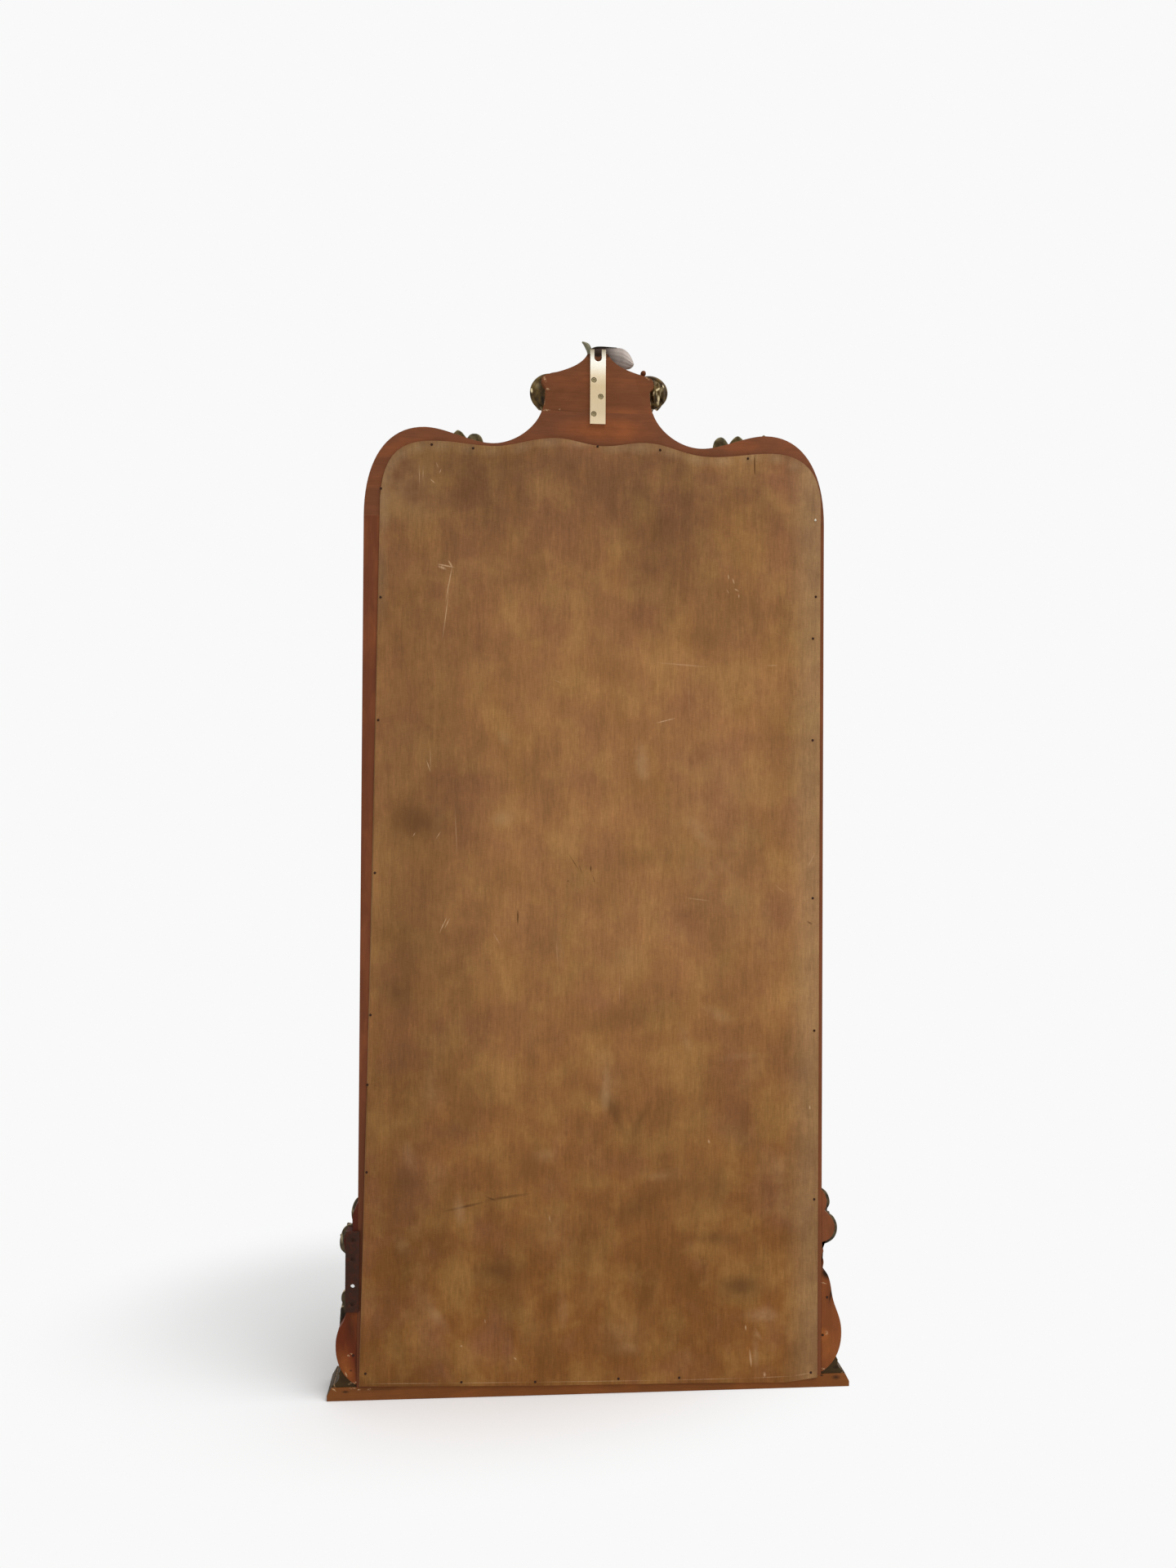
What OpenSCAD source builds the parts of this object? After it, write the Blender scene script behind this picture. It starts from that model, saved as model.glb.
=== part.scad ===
// Wall mirror with a carved gilt frame on a stained softwood carcass, standing on a moulded plinth.
// Z is up, the glass faces -Y and the back faces +Y. Left and right are as seen from the front.
// Depth is measured forward, from the back of the carcass towards the glass.

/* [Frame] */
// Width over the two stiles
frame_w = 740; // [640:5:900]
// Height at which the straight stiles end and the shaped top begins
spring_z = 1390; // [1000:10:1700]
// Rise of the shoulders above the stiles
shoulder_rise = 143; // [120:1:180]
// Rise of the hollows between the shoulders and the crest
dip_rise = 120; // [90:1:135]
// Rise of the outer line of the moulding at the centre
centre_rise = 146; // [120:1:155]
// Width of each stile and rail
stile_w = 58; // [46:1:64]
// Thickness of the carcass boards
carcass_t = 28; // [22:0.5:40]
// Length of the tenons
tenon_l = 38; // [20:1:50]
// Width of the tenons
tenon_w = 34; // [20:1:40]
// Thickness of the tenons
tenon_t = 10; // [6:0.5:14]

/* [Gilt moulding] */
// Width from the outer edge of the frame to the sight line
band_w = 70; // [66:1:80]
// Width of the moulding
moulding_w = 63; // [60:0.5:66]
// Height of the moulding above the carcass
moulding_h = 33; // [24:0.5:45]
// Width of the flat ledge at the outer edge of the moulding
ledge_w = 11; // [6:0.5:14]
// Height of that ledge above the carcass
ledge_h = 14; // [10:0.5:18]
// Height of the hollow beside the inner bead
hollow_h = 8; // [5:0.5:12]
// Diameter of the inner bead
bead_d = 6; // [4:0.5:8]
// Thickness of the slip that laps the glass
slip_t = 8; // [5:0.5:12]

/* [Glass and backboard] */
// Thickness of the mirror glass
glass_t = 5; // [3:0.5:8]
// Gap around the edge of the glass
glass_gap = 2; // [1:0.5:4]
// Length of each glazing block
glazing_block_l = 55; // [30:1:80]
// Width of each glazing block
glazing_block_w = 16; // [10:1:24]
// Thickness of the backboard
backboard_t = 3; // [2:0.5:4]
// Diameter of the nail heads
nail_head_d = 4; // [3:0.1:5]
// Height of the nail heads
nail_head_h = 0.8; // [0.5:0.1:1]
// Diameter of the nail shanks
nail_d = 1.6; // [1.2:0.1:2]
// Length of the nail shanks
nail_l = 18; // [12:1:25]

/* [Crest] */
// Width of the crest board at its glued joint
neck_w = 180; // [160:1:220]
// Height of the glued joint above the stiles
neck_rise = 173; // [165:1:200]
// Height of the crest board above its glued joint
crest_h = 95; // [85:1:120]
// Width of the crest board behind the volutes
crest_w = 168; // [150:1:180]
// Diameter of the two dowels in the glued joint
dowel_d = 10; // [6:0.5:14]
// Length of the two dowels
dowel_l = 50; // [30:1:70]
// Distance between the two dowels
dowel_spacing = 110; // [60:1:130]
// Largest radius of the two volutes
volute_r = 22; // [16:0.5:26]
// Reach of the left volute beyond the crest board
left_volute_out = 33; // [26:0.5:38]
// Reach of the right volute beyond the crest board
right_volute_out = 25; // [22:0.5:38]

/* [Hanging plate] */
// Width of the slotted plate
hang_w = 25; // [20:0.5:30]
// Length of the slotted plate
hang_l = 120; // [100:1:150]
// Thickness of both metal plates
plate_t = 4; // [3.9:0.1:6]
// Height of the plate above the top of the crest board
hang_proud = 6; // [0:0.5:10]
// Width of the open slot
slot_w = 12; // [8:0.5:14]
// Depth of the open slot
slot_l = 19.5; // [14:0.5:30]
// Width of the pocket in the crest board behind the slot
pocket_w = 18; // [15:0.5:22]
// Depth of that pocket
pocket_t = 8; // [6:0.5:14]
// Diameter of the heads of the plate screws
screw_head_d = 8.6; // [7:0.1:10]
// Diameter of the shanks of the plate screws
screw_d = 4; // [3:0.1:5]
// Length of the plate screws
screw_l = 24; // [16:0.5:26]

/* [Mending plate] */
// Width of the mending plate
mend_w = 21.5; // [18:0.5:25]
// Length of the mending plate
mend_l = 126; // [120:1:140]
// Height of the lower end of the mending plate
mend_z = 138.5; // [136:0.5:142]
// Diameter of its free hole
mend_hole_d = 6.5; // [4:0.1:8]

/* [Plinth] */
// Reach of the plinth beyond the feet
plinth_proud = 13; // [8:0.5:30]
// Depth of the plinth
plinth_d = 80; // [74:1:110]
// Thickness of the plinth board
plinth_t = 20; // [16:0.5:30]
// Height of the plinth with its moulding
plinth_h = 46; // [40:0.5:60]
// Height of the upright edge below the splay
plinth_edge = 8; // [4:0.5:12]
// Depth of the front moulding of the plinth
plinth_front_d = 16; // [12:0.5:24]
// Bite of the plinth screws into the carcass above the board
plinth_screw_bite = 22; // [15:0.5:25]

/* [Feet and ears] */
// Reach of the foot scrolls beyond the stiles
foot_out = 33; // [26:0.5:38]
// Height of the widest point of the foot scrolls
foot_belly_z = 86; // [80:1:95]
// Height of the top of the left foot block
foot_top_left = 187; // [175:1:200]
// Height of the top of the right foot block, which has lost its tip
foot_top_right = 163; // [158:1:165]
// Thickness of the gilt slab of each foot
foot_slab_t = 12; // [8:0.5:16]
// Radius of the large lobe of each ear
ear_r = 25; // [20:0.5:28]
// Height of the centre of the large lobe
ear_z = 256; // [250:1:262]
// Radius of the small lobe of each ear
ear_small_r = 12; // [8:0.5:15]
// Height of the centre of the small lobe
ear_small_z = 299; // [292:1:305]

/* [Hidden] */

$fn = 48;
half_w = frame_w / 2;
half_d = (plinth_d + plate_t) / 2;
back_y = half_d - plate_t;
plinth_w = 2 * (half_w + foot_out + plinth_proud);
fit = 0.05;
seat = 0.2;
eps = 0.01;
curve_steps = 9;
wood_steps = 20;
edge_steps = 12;
slip_lap = 2;
sight_w = band_w + slip_lap;
slip_d = carcass_t - slip_t;
glass_d = slip_d - glass_t;
neck_z = spring_z + neck_rise;
crest_top = neck_z + crest_h;
hang_top = crest_top + hang_proud;
hang_low = hang_top - hang_l;
slot_low = hang_top - slot_l;
splay_w = (foot_out + plinth_proud) * 0.435;
splay_d = plinth_front_d * 0.75;
cut_far = 3 * plinth_d;

wood = "#7b4a2f";
wood_light = "#8a5535";
board = "#86603b";
gilt = "#b08d4a";
gilt_dark = "#8d6f3a";
nickel = "#cfc3a4";
iron = "#3f2a1e";
silvered = "#c9d2d6";
leaf_silver = "#9a8c7a";

// Curves

function bezier_point(b, t) =
    pow(1 - t, 3) * b[0] + 3 * pow(1 - t, 2) * t * b[1] + 3 * (1 - t) * t * t * b[2] + t * t * t * b[3];

// The points of one curve, without its last one.
function bezier(b, n = curve_steps) = [for (i = [0 : n - 1]) bezier_point(b, i / n)];

function chain_of(curves, n = curve_steps) =
    concat([for (c = curves) each bezier(c, n)], [curves[len(curves) - 1][3]]);

function flipped(points) = [for (i = [len(points) - 1 : -1 : 0]) points[i]];

function mirrored(points) = [for (p = points) [-p[0], p[1]]];

// A half outline that ends on the centre line, carried on to the other side.
function whole(points) = concat(points, flipped(mirrored([for (i = [0 : len(points) - 2]) points[i]])));

// The serpentine of the top

shoulder_x = half_w * 0.743;
dip_x = half_w * 0.46;
sight_shoulder_x = half_w * 0.643;
sight_dip_x = half_w * 0.432;

outer_curves = [
    [[half_w, spring_z], [half_w, spring_z + shoulder_rise * 0.62],
        [half_w - (half_w - shoulder_x) * 0.37, spring_z + shoulder_rise],
        [shoulder_x, spring_z + shoulder_rise]],
    [[shoulder_x, spring_z + shoulder_rise], [half_w * 0.65, spring_z + shoulder_rise],
        [half_w * 0.555, spring_z + dip_rise + 1], [dip_x, spring_z + dip_rise]]
];
moulding_curve = [
    [dip_x, spring_z + dip_rise], [half_w * 0.355, spring_z + dip_rise - 1],
    [half_w * 0.19, spring_z + centre_rise], [0, spring_z + centre_rise]
];
neck_curve = [
    [dip_x, spring_z + dip_rise], [half_w * 0.365, spring_z + dip_rise - 1],
    [neck_w * 0.556, neck_z - (neck_rise - dip_rise) * 0.53], [neck_w / 2, neck_z]
];
sight_curves = [
    [[half_w - band_w, spring_z], [half_w - band_w, spring_z + (shoulder_rise - band_w) * 0.63],
        [half_w * 0.746, spring_z + shoulder_rise - band_w],
        [sight_shoulder_x, spring_z + shoulder_rise - band_w]],
    [[sight_shoulder_x, spring_z + shoulder_rise - band_w],
        [half_w * 0.573, spring_z + shoulder_rise - band_w],
        [half_w * 0.513, spring_z + dip_rise - band_w + 1], [sight_dip_x, spring_z + dip_rise - band_w]],
    [[sight_dip_x, spring_z + dip_rise - band_w], [half_w * 0.31, spring_z + dip_rise - band_w - 1],
        [half_w * 0.176, spring_z + centre_rise - band_w], [0, spring_z + centre_rise - band_w]]
];
outer_line = chain_of(concat(outer_curves, [moulding_curve]));
sight_line = chain_of(sight_curves);
wood_line = chain_of(concat(outer_curves, [neck_curve]), wood_steps);

// The line across the top that lies w inside the outer edge of the moulding.
function inside(w) =
    whole([for (i = [0 : len(outer_line) - 1]) outer_line[i] + (sight_line[i] - outer_line[i]) * w / band_w]);

// The strip across the top between two such lines.
function strip(w0, w1) = concat(inside(w0), flipped(inside(w1)));

// Seen from the front: X across, Y up, and Z is the depth forward from the back of the carcass.
module facing() {
    translate([0, back_y, 0])
        rotate([90, 0, 0])
            children();
}

// A flat piece between two depths, drawn by its outline as seen from the front.
module slab(d0, d1) {
    facing()
        translate([0, 0, d0])
            linear_extrude(d1 - d0)
                children();
}

module block(x0, x1, z0, z1, d0, d1) {
    slab(d0, d1)
        translate([x0, z0])
            square([x1 - x0, z1 - z0]);
}

module mirror_if(on) {
    if (on)
        mirror([1, 0, 0])
            children();
    else
        children();
}

// Fasteners

// Across as a share of the half width, down as a share of the width of a stile.
top_nails = [[0.927, 1.736], [0.713, 0.5], [0.536, 0.57], [0, 0.431], [-0.273, 0.483], [-0.659, 0.655]];
// In from the edge as a share of the width of a stile, up as a share of the height of the stiles.
right_nails = [[0.479, 0.905], [0.441, 0.763], [0.386, 0.587], [0.297, 0.424], [0.228, 0.344], [0.228, 0.244],
    [0.24, 0.0145]];
left_nails = [[0.262, 1.0056], [0.24, 0.9146], [0.316, 0.865], [0.317, 0.7445], [0.298, 0.558],
    [0.243, 0.402], [0.228, 0.204], [0.307, 0.0014]];
// Across as a share of the half width, up as a share of the thickness of the plinth board.
bottom_nails = [[0.558, 0.27], [0.244, 0.13], [-0.113, 0.195], [-0.376, 0.13]];
side_nail_foot = plinth_t * 1.15;

function side_nail(share) = side_nail_foot + share * (spring_z - side_nail_foot);

nails = concat(
    [for (n = top_nails) [n[0] * half_w, spring_z + shoulder_rise - n[1] * stile_w]],
    [for (n = right_nails) [half_w - n[0] * stile_w, side_nail(n[1])]],
    [for (n = left_nails) [n[0] * stile_w - half_w, side_nail(n[1])]],
    [for (n = bottom_nails) [n[0] * half_w, plinth_t * (1 + n[1])]]
);
foot_leaf_h = foot_top_left - foot_belly_z;
block_nail_spots = [
    [-half_w - foot_out * 0.064, foot_belly_z - (foot_belly_z - plinth_t) * 0.042],
    [-half_w - foot_out * 0.282, foot_belly_z + foot_leaf_h * 0.569],
    [half_w + foot_out * 0.161, foot_belly_z - (foot_belly_z - plinth_t) * 0.238]
];

module nail_holes(spots) {
    facing()
        for (p = spots)
            translate([p[0], p[1], -backboard_t - 1])
                cylinder(d = nail_d + 2 * fit, h = backboard_t + 1 + nail_l + fit);
}

module nails_at(spots, seat_d) {
    facing()
        for (p = spots)
            translate([p[0], p[1], seat_d]) {
                cylinder(d = nail_d, h = nail_l);
                translate([0, 0, -nail_head_h])
                    cylinder(d = nail_head_d, h = nail_head_h + eps);
            }
}

// A countersunk screw along +Z with its head's face at the origin; grow is the clearance of its hole.
module screw(grow = 0) {
    head_h = (screw_head_d - screw_d) / 2;
    cylinder(d1 = screw_head_d + 2 * grow, d2 = screw_d + 2 * grow, h = head_h);
    cylinder(d = screw_d + 2 * grow, h = screw_l + grow);
}

module screw_slot() {
    translate([-screw_head_d / 2, -0.5, -eps])
        cube([screw_head_d, 1, 0.9]);
}

// Places on a plate as shares of its width and length.
hang_screws = [[-0.26, 0.588], [0.18, 0.367], [-0.26, 0.133]];
mend_lap = 3;
mend_x = half_w - mend_lap;
mend_screws = [[0.49, 0.1], [0.51, 0.66], [0.465, 0.893]];
mend_free = [0.465, 0.325];
plinth_screw_x = [stile_w / 2 - half_w, -half_w / 3, half_w / 3, half_w - stile_w / 2];
screw_sink = 0.5;

module hang_screws_at(grow = 0) {
    facing()
        for (p = hang_screws)
            translate([-p[0] * hang_w, hang_low + p[1] * hang_l, -plate_t])
                difference() {
                    screw(grow);
                    if (grow == 0)
                        screw_slot();
                }
}

module mend_screws_at(grow = 0) {
    facing()
        for (p = mend_screws)
            translate([mend_x + p[0] * mend_w, mend_z + p[1] * mend_l, -plate_t])
                difference() {
                    screw(grow);
                    if (grow == 0)
                        screw_slot();
                }
}

module plinth_screws_at(grow = 0) {
    for (x = plinth_screw_x)
        translate([x, back_y - carcass_t / 2, screw_sink])
            difference() {
                union() {
                    screw(grow);
                    cylinder(d = screw_d + 2 * grow, h = plinth_t + plinth_screw_bite + grow);
                    if (grow > 0)
                        translate([0, 0, -1])
                            cylinder(d = screw_head_d + 2 * grow, h = 1 + eps);
                }
                if (grow == 0)
                    screw_slot();
            }
}

// Carcass

module tenon(x0, x1, z0, z1, grow = 0) {
    mid = carcass_t / 2;
    block(x0 - grow, x1 + grow, z0 - grow, z1 + grow, mid - tenon_t / 2 - grow, mid + tenon_t / 2 + grow);
}

rail_top = plinth_h + stile_w;
bottom_tenon_z = (plinth_t + rail_top - tenon_w) / 2;

module stile_tenon(grow = 0) {
    mid_x = half_w - stile_w / 2;
    tenon(mid_x - tenon_w / 2, mid_x + tenon_w / 2, spring_z - (grow > 0 ? 1 : 0), spring_z + tenon_l, grow);
}

module rail_tenon(grow = 0) {
    inner = half_w - stile_w;
    tenon(inner - (grow > 0 ? 1 : 0), inner + tenon_l, bottom_tenon_z, bottom_tenon_z + tenon_w, grow);
}

module stile(on_left) {
    color(wood)
        difference() {
            mirror_if(on_left) {
                union() {
                    block(half_w - stile_w, half_w, plinth_t, spring_z, 0, carcass_t);
                    stile_tenon();
                }
            }
            mirror_if(on_left)
                rail_tenon(fit);
            nail_holes(nails);
            nail_holes(block_nail_spots);
            plinth_screws_at(fit);
        }
}

module left_stile() { stile(true); }
module right_stile() { stile(false); }

module top_rail() {
    color(wood)
        difference() {
            slab(0, carcass_t)
                polygon(concat(wood_line, flipped(mirrored(wood_line)), flipped(inside(stile_w))));
            for (on_left = [true, false])
                mirror_if(on_left)
                    stile_tenon(fit);
            dowels(fit);
            hang_screws_at(fit);
            nail_holes(nails);
        }
}

module bottom_rail() {
    inner = half_w - stile_w;
    color(wood)
        difference() {
            union() {
                block(-inner, inner, plinth_t, rail_top, 0, carcass_t);
                for (on_left = [true, false])
                    mirror_if(on_left)
                        rail_tenon();
            }
            nail_holes(nails);
            plinth_screws_at(fit);
        }
}

crest_edge = chain_of([
    [[neck_w / 2, neck_z], [crest_w / 2 + 2, neck_z + 8], [crest_w / 2, neck_z + 20],
        [crest_w / 2, neck_z + 40]],
    [[crest_w / 2, neck_z + 40], [crest_w / 2, neck_z + 58], [crest_w / 2 - 8, crest_top - 34],
        [crest_w / 2 - 18, crest_top - 31]],
    [[crest_w / 2 - 18, crest_top - 31], [crest_w / 2 - 34, crest_top - 26],
        [hang_w / 2 + 12, crest_top - 18], [hang_w / 2 + 4, crest_top]]
], edge_steps);

module dowels(grow = 0) {
    facing()
        for (side = [-1, 1])
            translate([side * dowel_spacing / 2, neck_z, carcass_t / 2])
                rotate([90, 0, 0])
                    cylinder(d = dowel_d + 2 * grow, h = dowel_l + 2 * grow, center = true);
}

module crest_board() {
    color(wood)
        difference() {
            slab(0, carcass_t)
                polygon(concat(crest_edge, flipped(mirrored(crest_edge))));
            block(-pocket_w / 2, pocket_w / 2, slot_low - 5, crest_top + 1, -1, pocket_t);
            dowels(fit);
            hang_screws_at(fit);
        }
}

module crest_dowels() {
    color(wood_light)
        dowels();
}

// Ears and feet

// How far the right ear's wooden block stands back from the reach of the left one.
ear_shift = 3.5;
ear_neck_w = mend_w * 0.75;
ear_neck_z = mend_z + mend_screws[1][1] * mend_l - screw_head_d * 0.8;

module ear_outline(shift) {
    difference() {
        union() {
            translate([half_w - 1 - shift, ear_z])
                circle(r = ear_r);
            translate([half_w - 1 - shift, ear_small_z])
                circle(r = ear_small_r);
            translate([half_w - 4, ear_z + ear_r - 8])
                square([9, ear_small_z - ear_z - ear_r]);
        }
        square([half_w, spring_z]);
    }
}

module left_ear_block() {
    color(wood)
        mirror([1, 0, 0])
            slab(0, carcass_t)
                ear_outline(0);
}

module right_ear_block() {
    color(wood)
        difference() {
            slab(0, carcass_t)
                union() {
                    ear_outline(ear_shift);
                    translate([half_w, ear_neck_z])
                        square([ear_neck_w, ear_z - ear_neck_z]);
                }
            mend_screws_at(fit);
        }
}

// The outer curve of a foot from its top down to the plinth board.
function foot_curve(top_z) = chain_of([
    [[half_w + 5, top_z - 1], [half_w + 12, top_z - 6],
        [half_w + 15, foot_belly_z + (top_z - foot_belly_z) * 0.8],
        [half_w + 17, foot_belly_z + (top_z - foot_belly_z) * 0.64]],
    [[half_w + 17, foot_belly_z + (top_z - foot_belly_z) * 0.64],
        [half_w + 21, foot_belly_z + (top_z - foot_belly_z) * 0.38], [half_w + foot_out, foot_belly_z + 28],
        [half_w + foot_out, foot_belly_z]],
    [[half_w + foot_out, foot_belly_z], [half_w + foot_out, foot_belly_z - 30],
        [half_w + 20, plinth_t + 16], [half_w + 2, plinth_t + 5]]
], edge_steps);

module foot_block(top_z) {
    slab(0, carcass_t)
        polygon(concat([[half_w, top_z]], foot_curve(top_z), [[half_w, plinth_t + 5]]));
}

module left_foot_block() {
    color(wood_light)
        difference() {
            mirror([1, 0, 0])
                foot_block(foot_top_left);
            nail_holes(block_nail_spots);
        }
}

module right_foot_block() {
    color(wood_light)
        difference() {
            foot_block(foot_top_right);
            mend_screws_at(fit);
            nail_holes(block_nail_spots);
        }
}

// Plinth

splay_slope = splay_w / (plinth_h - plinth_edge);

// The end profile of the plinth at height z.
function end_x(z) = plinth_w / 2 - (z - plinth_edge) * splay_slope;

function front_d(z) = plinth_d - (z - plinth_edge) * splay_d / (plinth_h - plinth_edge);

// The splayed plinth between two heights and two depths.
module splayed(z0, z1, d0) {
    low = max(z0, plinth_edge);
    intersection() {
        slab(0, plinth_d + 1)
            polygon([
                [-end_x(z1), z1], [-end_x(low), low], [-end_x(low), z0],
                [end_x(low), z0], [end_x(low), low], [end_x(z1), z1]
            ]);
        translate([-plinth_w, back_y, 0])
            rotate([90, 0, 90])
                linear_extrude(2 * plinth_w)
                    polygon([[-d0, z0], [-front_d(low), z0], [-front_d(low), low],
                        [-front_d(z1), z1], [-d0, z1]]);
    }
}

module plinth_board() {
    color(wood_light)
        difference() {
            splayed(0, plinth_t, 0);
            plinth_screws_at(fit);
        }
}

plinth_front_back = plinth_d - plinth_front_d;

module plinth_front() {
    color(gilt_dark)
        splayed(plinth_t, plinth_h, plinth_front_back);
}

module plinth_core() {
    color(wood_light)
        block(-half_w, half_w, plinth_t, plinth_h, carcass_t, plinth_front_back);
}

return_inset = 3;

module plinth_return() {
    curve = foot_curve(foot_top_left);
    under = [for (p = curve) if (p[1] < plinth_h - 6 && p[1] < foot_belly_z) p];
    slab(return_inset, plinth_front_back)
        polygon(concat([[half_w, plinth_t], [end_x(plinth_t), plinth_t], [end_x(plinth_h - 2), plinth_h - 2]],
            under, [[half_w, plinth_t + 5]]));
}

module plinth_left_return() {
    color(gilt_dark)
        mirror([1, 0, 0])
            plinth_return();
}

module plinth_right_return() {
    color(gilt_dark)
        plinth_return();
}

module plinth_screws() {
    color(iron)
        plinth_screws_at();
}

// Glass and backboard

module mirror_glass() {
    edge = stile_w + glass_gap;
    color(silvered)
        slab(glass_d, slip_d)
            polygon(concat([[half_w - edge, plinth_h + edge]], inside(edge),
                [[edge - half_w, plinth_h + edge]]));
}

glazing_heights = [0.12, 0.5, 0.88];

module glazing_blocks() {
    inner = half_w - stile_w;
    glazed_low = plinth_h + stile_w;
    run = spring_z - glazed_low;
    color(wood_light) {
        for (share = glazing_heights, on_left = [true, false])
            mirror_if(on_left)
                block(inner - glazing_block_w, inner, glazed_low + share * run - glazing_block_l / 2,
                    glazed_low + share * run + glazing_block_l / 2, backboard_t, glass_d);
        for (side = [-1, 1])
            block(side * inner / 2 - glazing_block_l / 2, side * inner / 2 + glazing_block_l / 2,
                glazed_low, glazed_low + glazing_block_w, backboard_t, glass_d);
    }
}

// The backboard was sawn by eye: its edges wander, and these curves follow it from the right shoulder.
board_top = spring_z + shoulder_rise;

// A height on the backboard's top edge: a share of the width of a stile below the top of the shoulders.
function below(share) = board_top - share * stile_w;

board_edge = [
    [[half_w - 0.431 * stile_w, spring_z + 0.17 * stile_w], [half_w - 0.431 * stile_w, below(0.948)],
        [half_w * 0.87, below(0.379)], [half_w * 0.703, below(0.388)]],
    [[half_w * 0.703, below(0.388)], [half_w * 0.61, below(0.379)],
        [half_w * 0.554, below(0.483)], [half_w * 0.457, below(0.491)]],
    [[half_w * 0.457, below(0.491)], [half_w * 0.365, below(0.5)],
        [half_w * 0.284, below(0.224)], [half_w * 0.178, below(0.224)]],
    [[half_w * 0.178, below(0.224)], [half_w * 0.108, below(0.224)],
        [half_w * 0.041, below(0.414)], [-half_w * 0.027, below(0.414)]],
    [[-half_w * 0.027, below(0.414)], [-half_w * 0.095, below(0.414)],
        [-half_w * 0.135, below(0.293)], [-half_w * 0.211, below(0.293)]],
    [[-half_w * 0.211, below(0.293)], [-half_w * 0.31, below(0.293)],
        [-half_w * 0.378, below(0.638)], [-half_w * 0.5, below(0.638)]],
    [[-half_w * 0.5, below(0.638)], [-half_w * 0.595, below(0.638)],
        [-half_w * 0.676, below(0.5)], [-half_w * 0.77, below(0.5)]],
    [[-half_w * 0.77, below(0.5)], [-half_w * 0.905, below(0.5)],
        [0.103 * stile_w - half_w, below(1)], [0.103 * stile_w - half_w, below(1.948)]]
];
board_run = spring_z - plinth_t;
board_foot = [
    [0.12 * stile_w - half_w, plinth_t * 0.83], [stile_w - half_w, plinth_t / 2],
    [-half_w * 0.45, plinth_t * 0.65], [half_w * 0.24, plinth_t * 0.8],
    [half_w - 0.07 * stile_w, plinth_t * 1.14],
    [half_w - 0.17 * stile_w, plinth_t + board_run * 0.244],
    [half_w - 0.33 * stile_w, plinth_t + board_run * 0.584]
];

module backboard() {
    color(board)
        difference() {
            slab(-backboard_t, 0)
                polygon(concat(chain_of(board_edge, edge_steps), board_foot));
            nail_holes(nails);
        }
}

module backboard_nails() {
    color(iron)
        nails_at(nails, -backboard_t);
}

module block_nails() {
    color(iron)
        nails_at(block_nail_spots, 0);
}

// Metal plates

module hanging_plate() {
    color(nickel)
        difference() {
            slab(-plate_t, 0)
                difference() {
                    translate([-hang_w / 2, hang_low])
                        square([hang_w, hang_l]);
                    translate([0, slot_low + slot_w / 2])
                        circle(d = slot_w);
                    translate([-slot_w / 2, slot_low + slot_w / 2])
                        square([slot_w, slot_l]);
                }
            hang_screws_at(fit);
        }
}

module hanging_plate_screws() {
    color(nickel)
        hang_screws_at();
}

module mending_plate() {
    color(iron)
        difference() {
            block(mend_x, mend_x + mend_w, mend_z, mend_z + mend_l, -plate_t, 0);
            mend_screws_at(fit);
            facing()
                translate([mend_x + mend_free[0] * mend_w, mend_z + mend_free[1] * mend_l, -plate_t - 1])
                    cylinder(d = mend_hole_d, h = plate_t + 2);
        }
}

module mending_plate_screws() {
    color(iron)
        mend_screws_at();
}

// Slips: plain gilt strips that lap the edge of the glass

sight_low = plinth_h + sight_w;

module side_slip(on_left) {
    color(gilt)
        mirror_if(on_left)
            block(half_w - sight_w, half_w - stile_w, plinth_h + stile_w, spring_z, slip_d, carcass_t);
}

module left_slip() { side_slip(true); }
module right_slip() { side_slip(false); }

module top_slip() {
    color(gilt)
        slab(slip_d, carcass_t)
            polygon(strip(stile_w, sight_w));
}

module bottom_slip() {
    color(gilt)
        block(sight_w - half_w, half_w - sight_w, plinth_h + stile_w, sight_low, slip_d, carcass_t);
}

// Mouldings

crown_w = (ledge_w + moulding_w) * 0.42;
bead_w = moulding_w - bead_d;
profile = concat(
    [[1, 0], [1, ledge_h - 1], [2, ledge_h], [ledge_w, ledge_h]],
    chain_of([
        [[ledge_w + 0.5, ledge_h - 2], [ledge_w + 8, ledge_h - 1], [crown_w - 9, moulding_h],
            [crown_w, moulding_h]],
        [[crown_w, moulding_h], [crown_w + 13, moulding_h], [bead_w - 14, hollow_h], [bead_w, hollow_h]]
    ], 5),
    [for (a = [150 : -40 : -10])
        [bead_w + bead_d / 2 + cos(a) * bead_d / 2, hollow_h + 1 + sin(a) * bead_d / 2]],
    [[moulding_w, 0]]
);

foot_ledge = foot_top_left - 11;

module side_moulding(on_left) {
    color(gilt)
        mirror_if(on_left)
            translate([0, 0, foot_ledge])
                linear_extrude(spring_z - foot_ledge)
                    polygon([for (p = profile) [half_w - p[0], back_y - carcass_t - p[1]]]);
}

module left_moulding() { side_moulding(true); }
module right_moulding() { side_moulding(false); }

module bottom_moulding() {
    inner = half_w - band_w;
    color(gilt)
        translate([-inner, back_y - carcass_t, plinth_h])
            rotate([90, 0, 90])
                linear_extrude(2 * inner)
                    polygon([for (p = profile) [-p[1], p[0]]]);
}

// A solid through rings of points that all have the same number of points.
module loft(rings) {
    n = len(rings[0]);
    last = len(rings) - 1;
    polyhedron(
        points = [for (r = rings) each r],
        faces = concat(
            [[for (j = [n - 1 : -1 : 0]) j]],
            [for (i = [0 : last - 1], j = [0 : n - 1])
                let (a = i * n + j, b = i * n + (j + 1) % n) [a, b, b + n]],
            [for (i = [0 : last - 1], j = [0 : n - 1])
                let (a = i * n + j, b = i * n + (j + 1) % n) [a, b + n, a + n]],
            [[for (j = [0 : n - 1]) last * n + j]]
        )
    );
}

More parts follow.
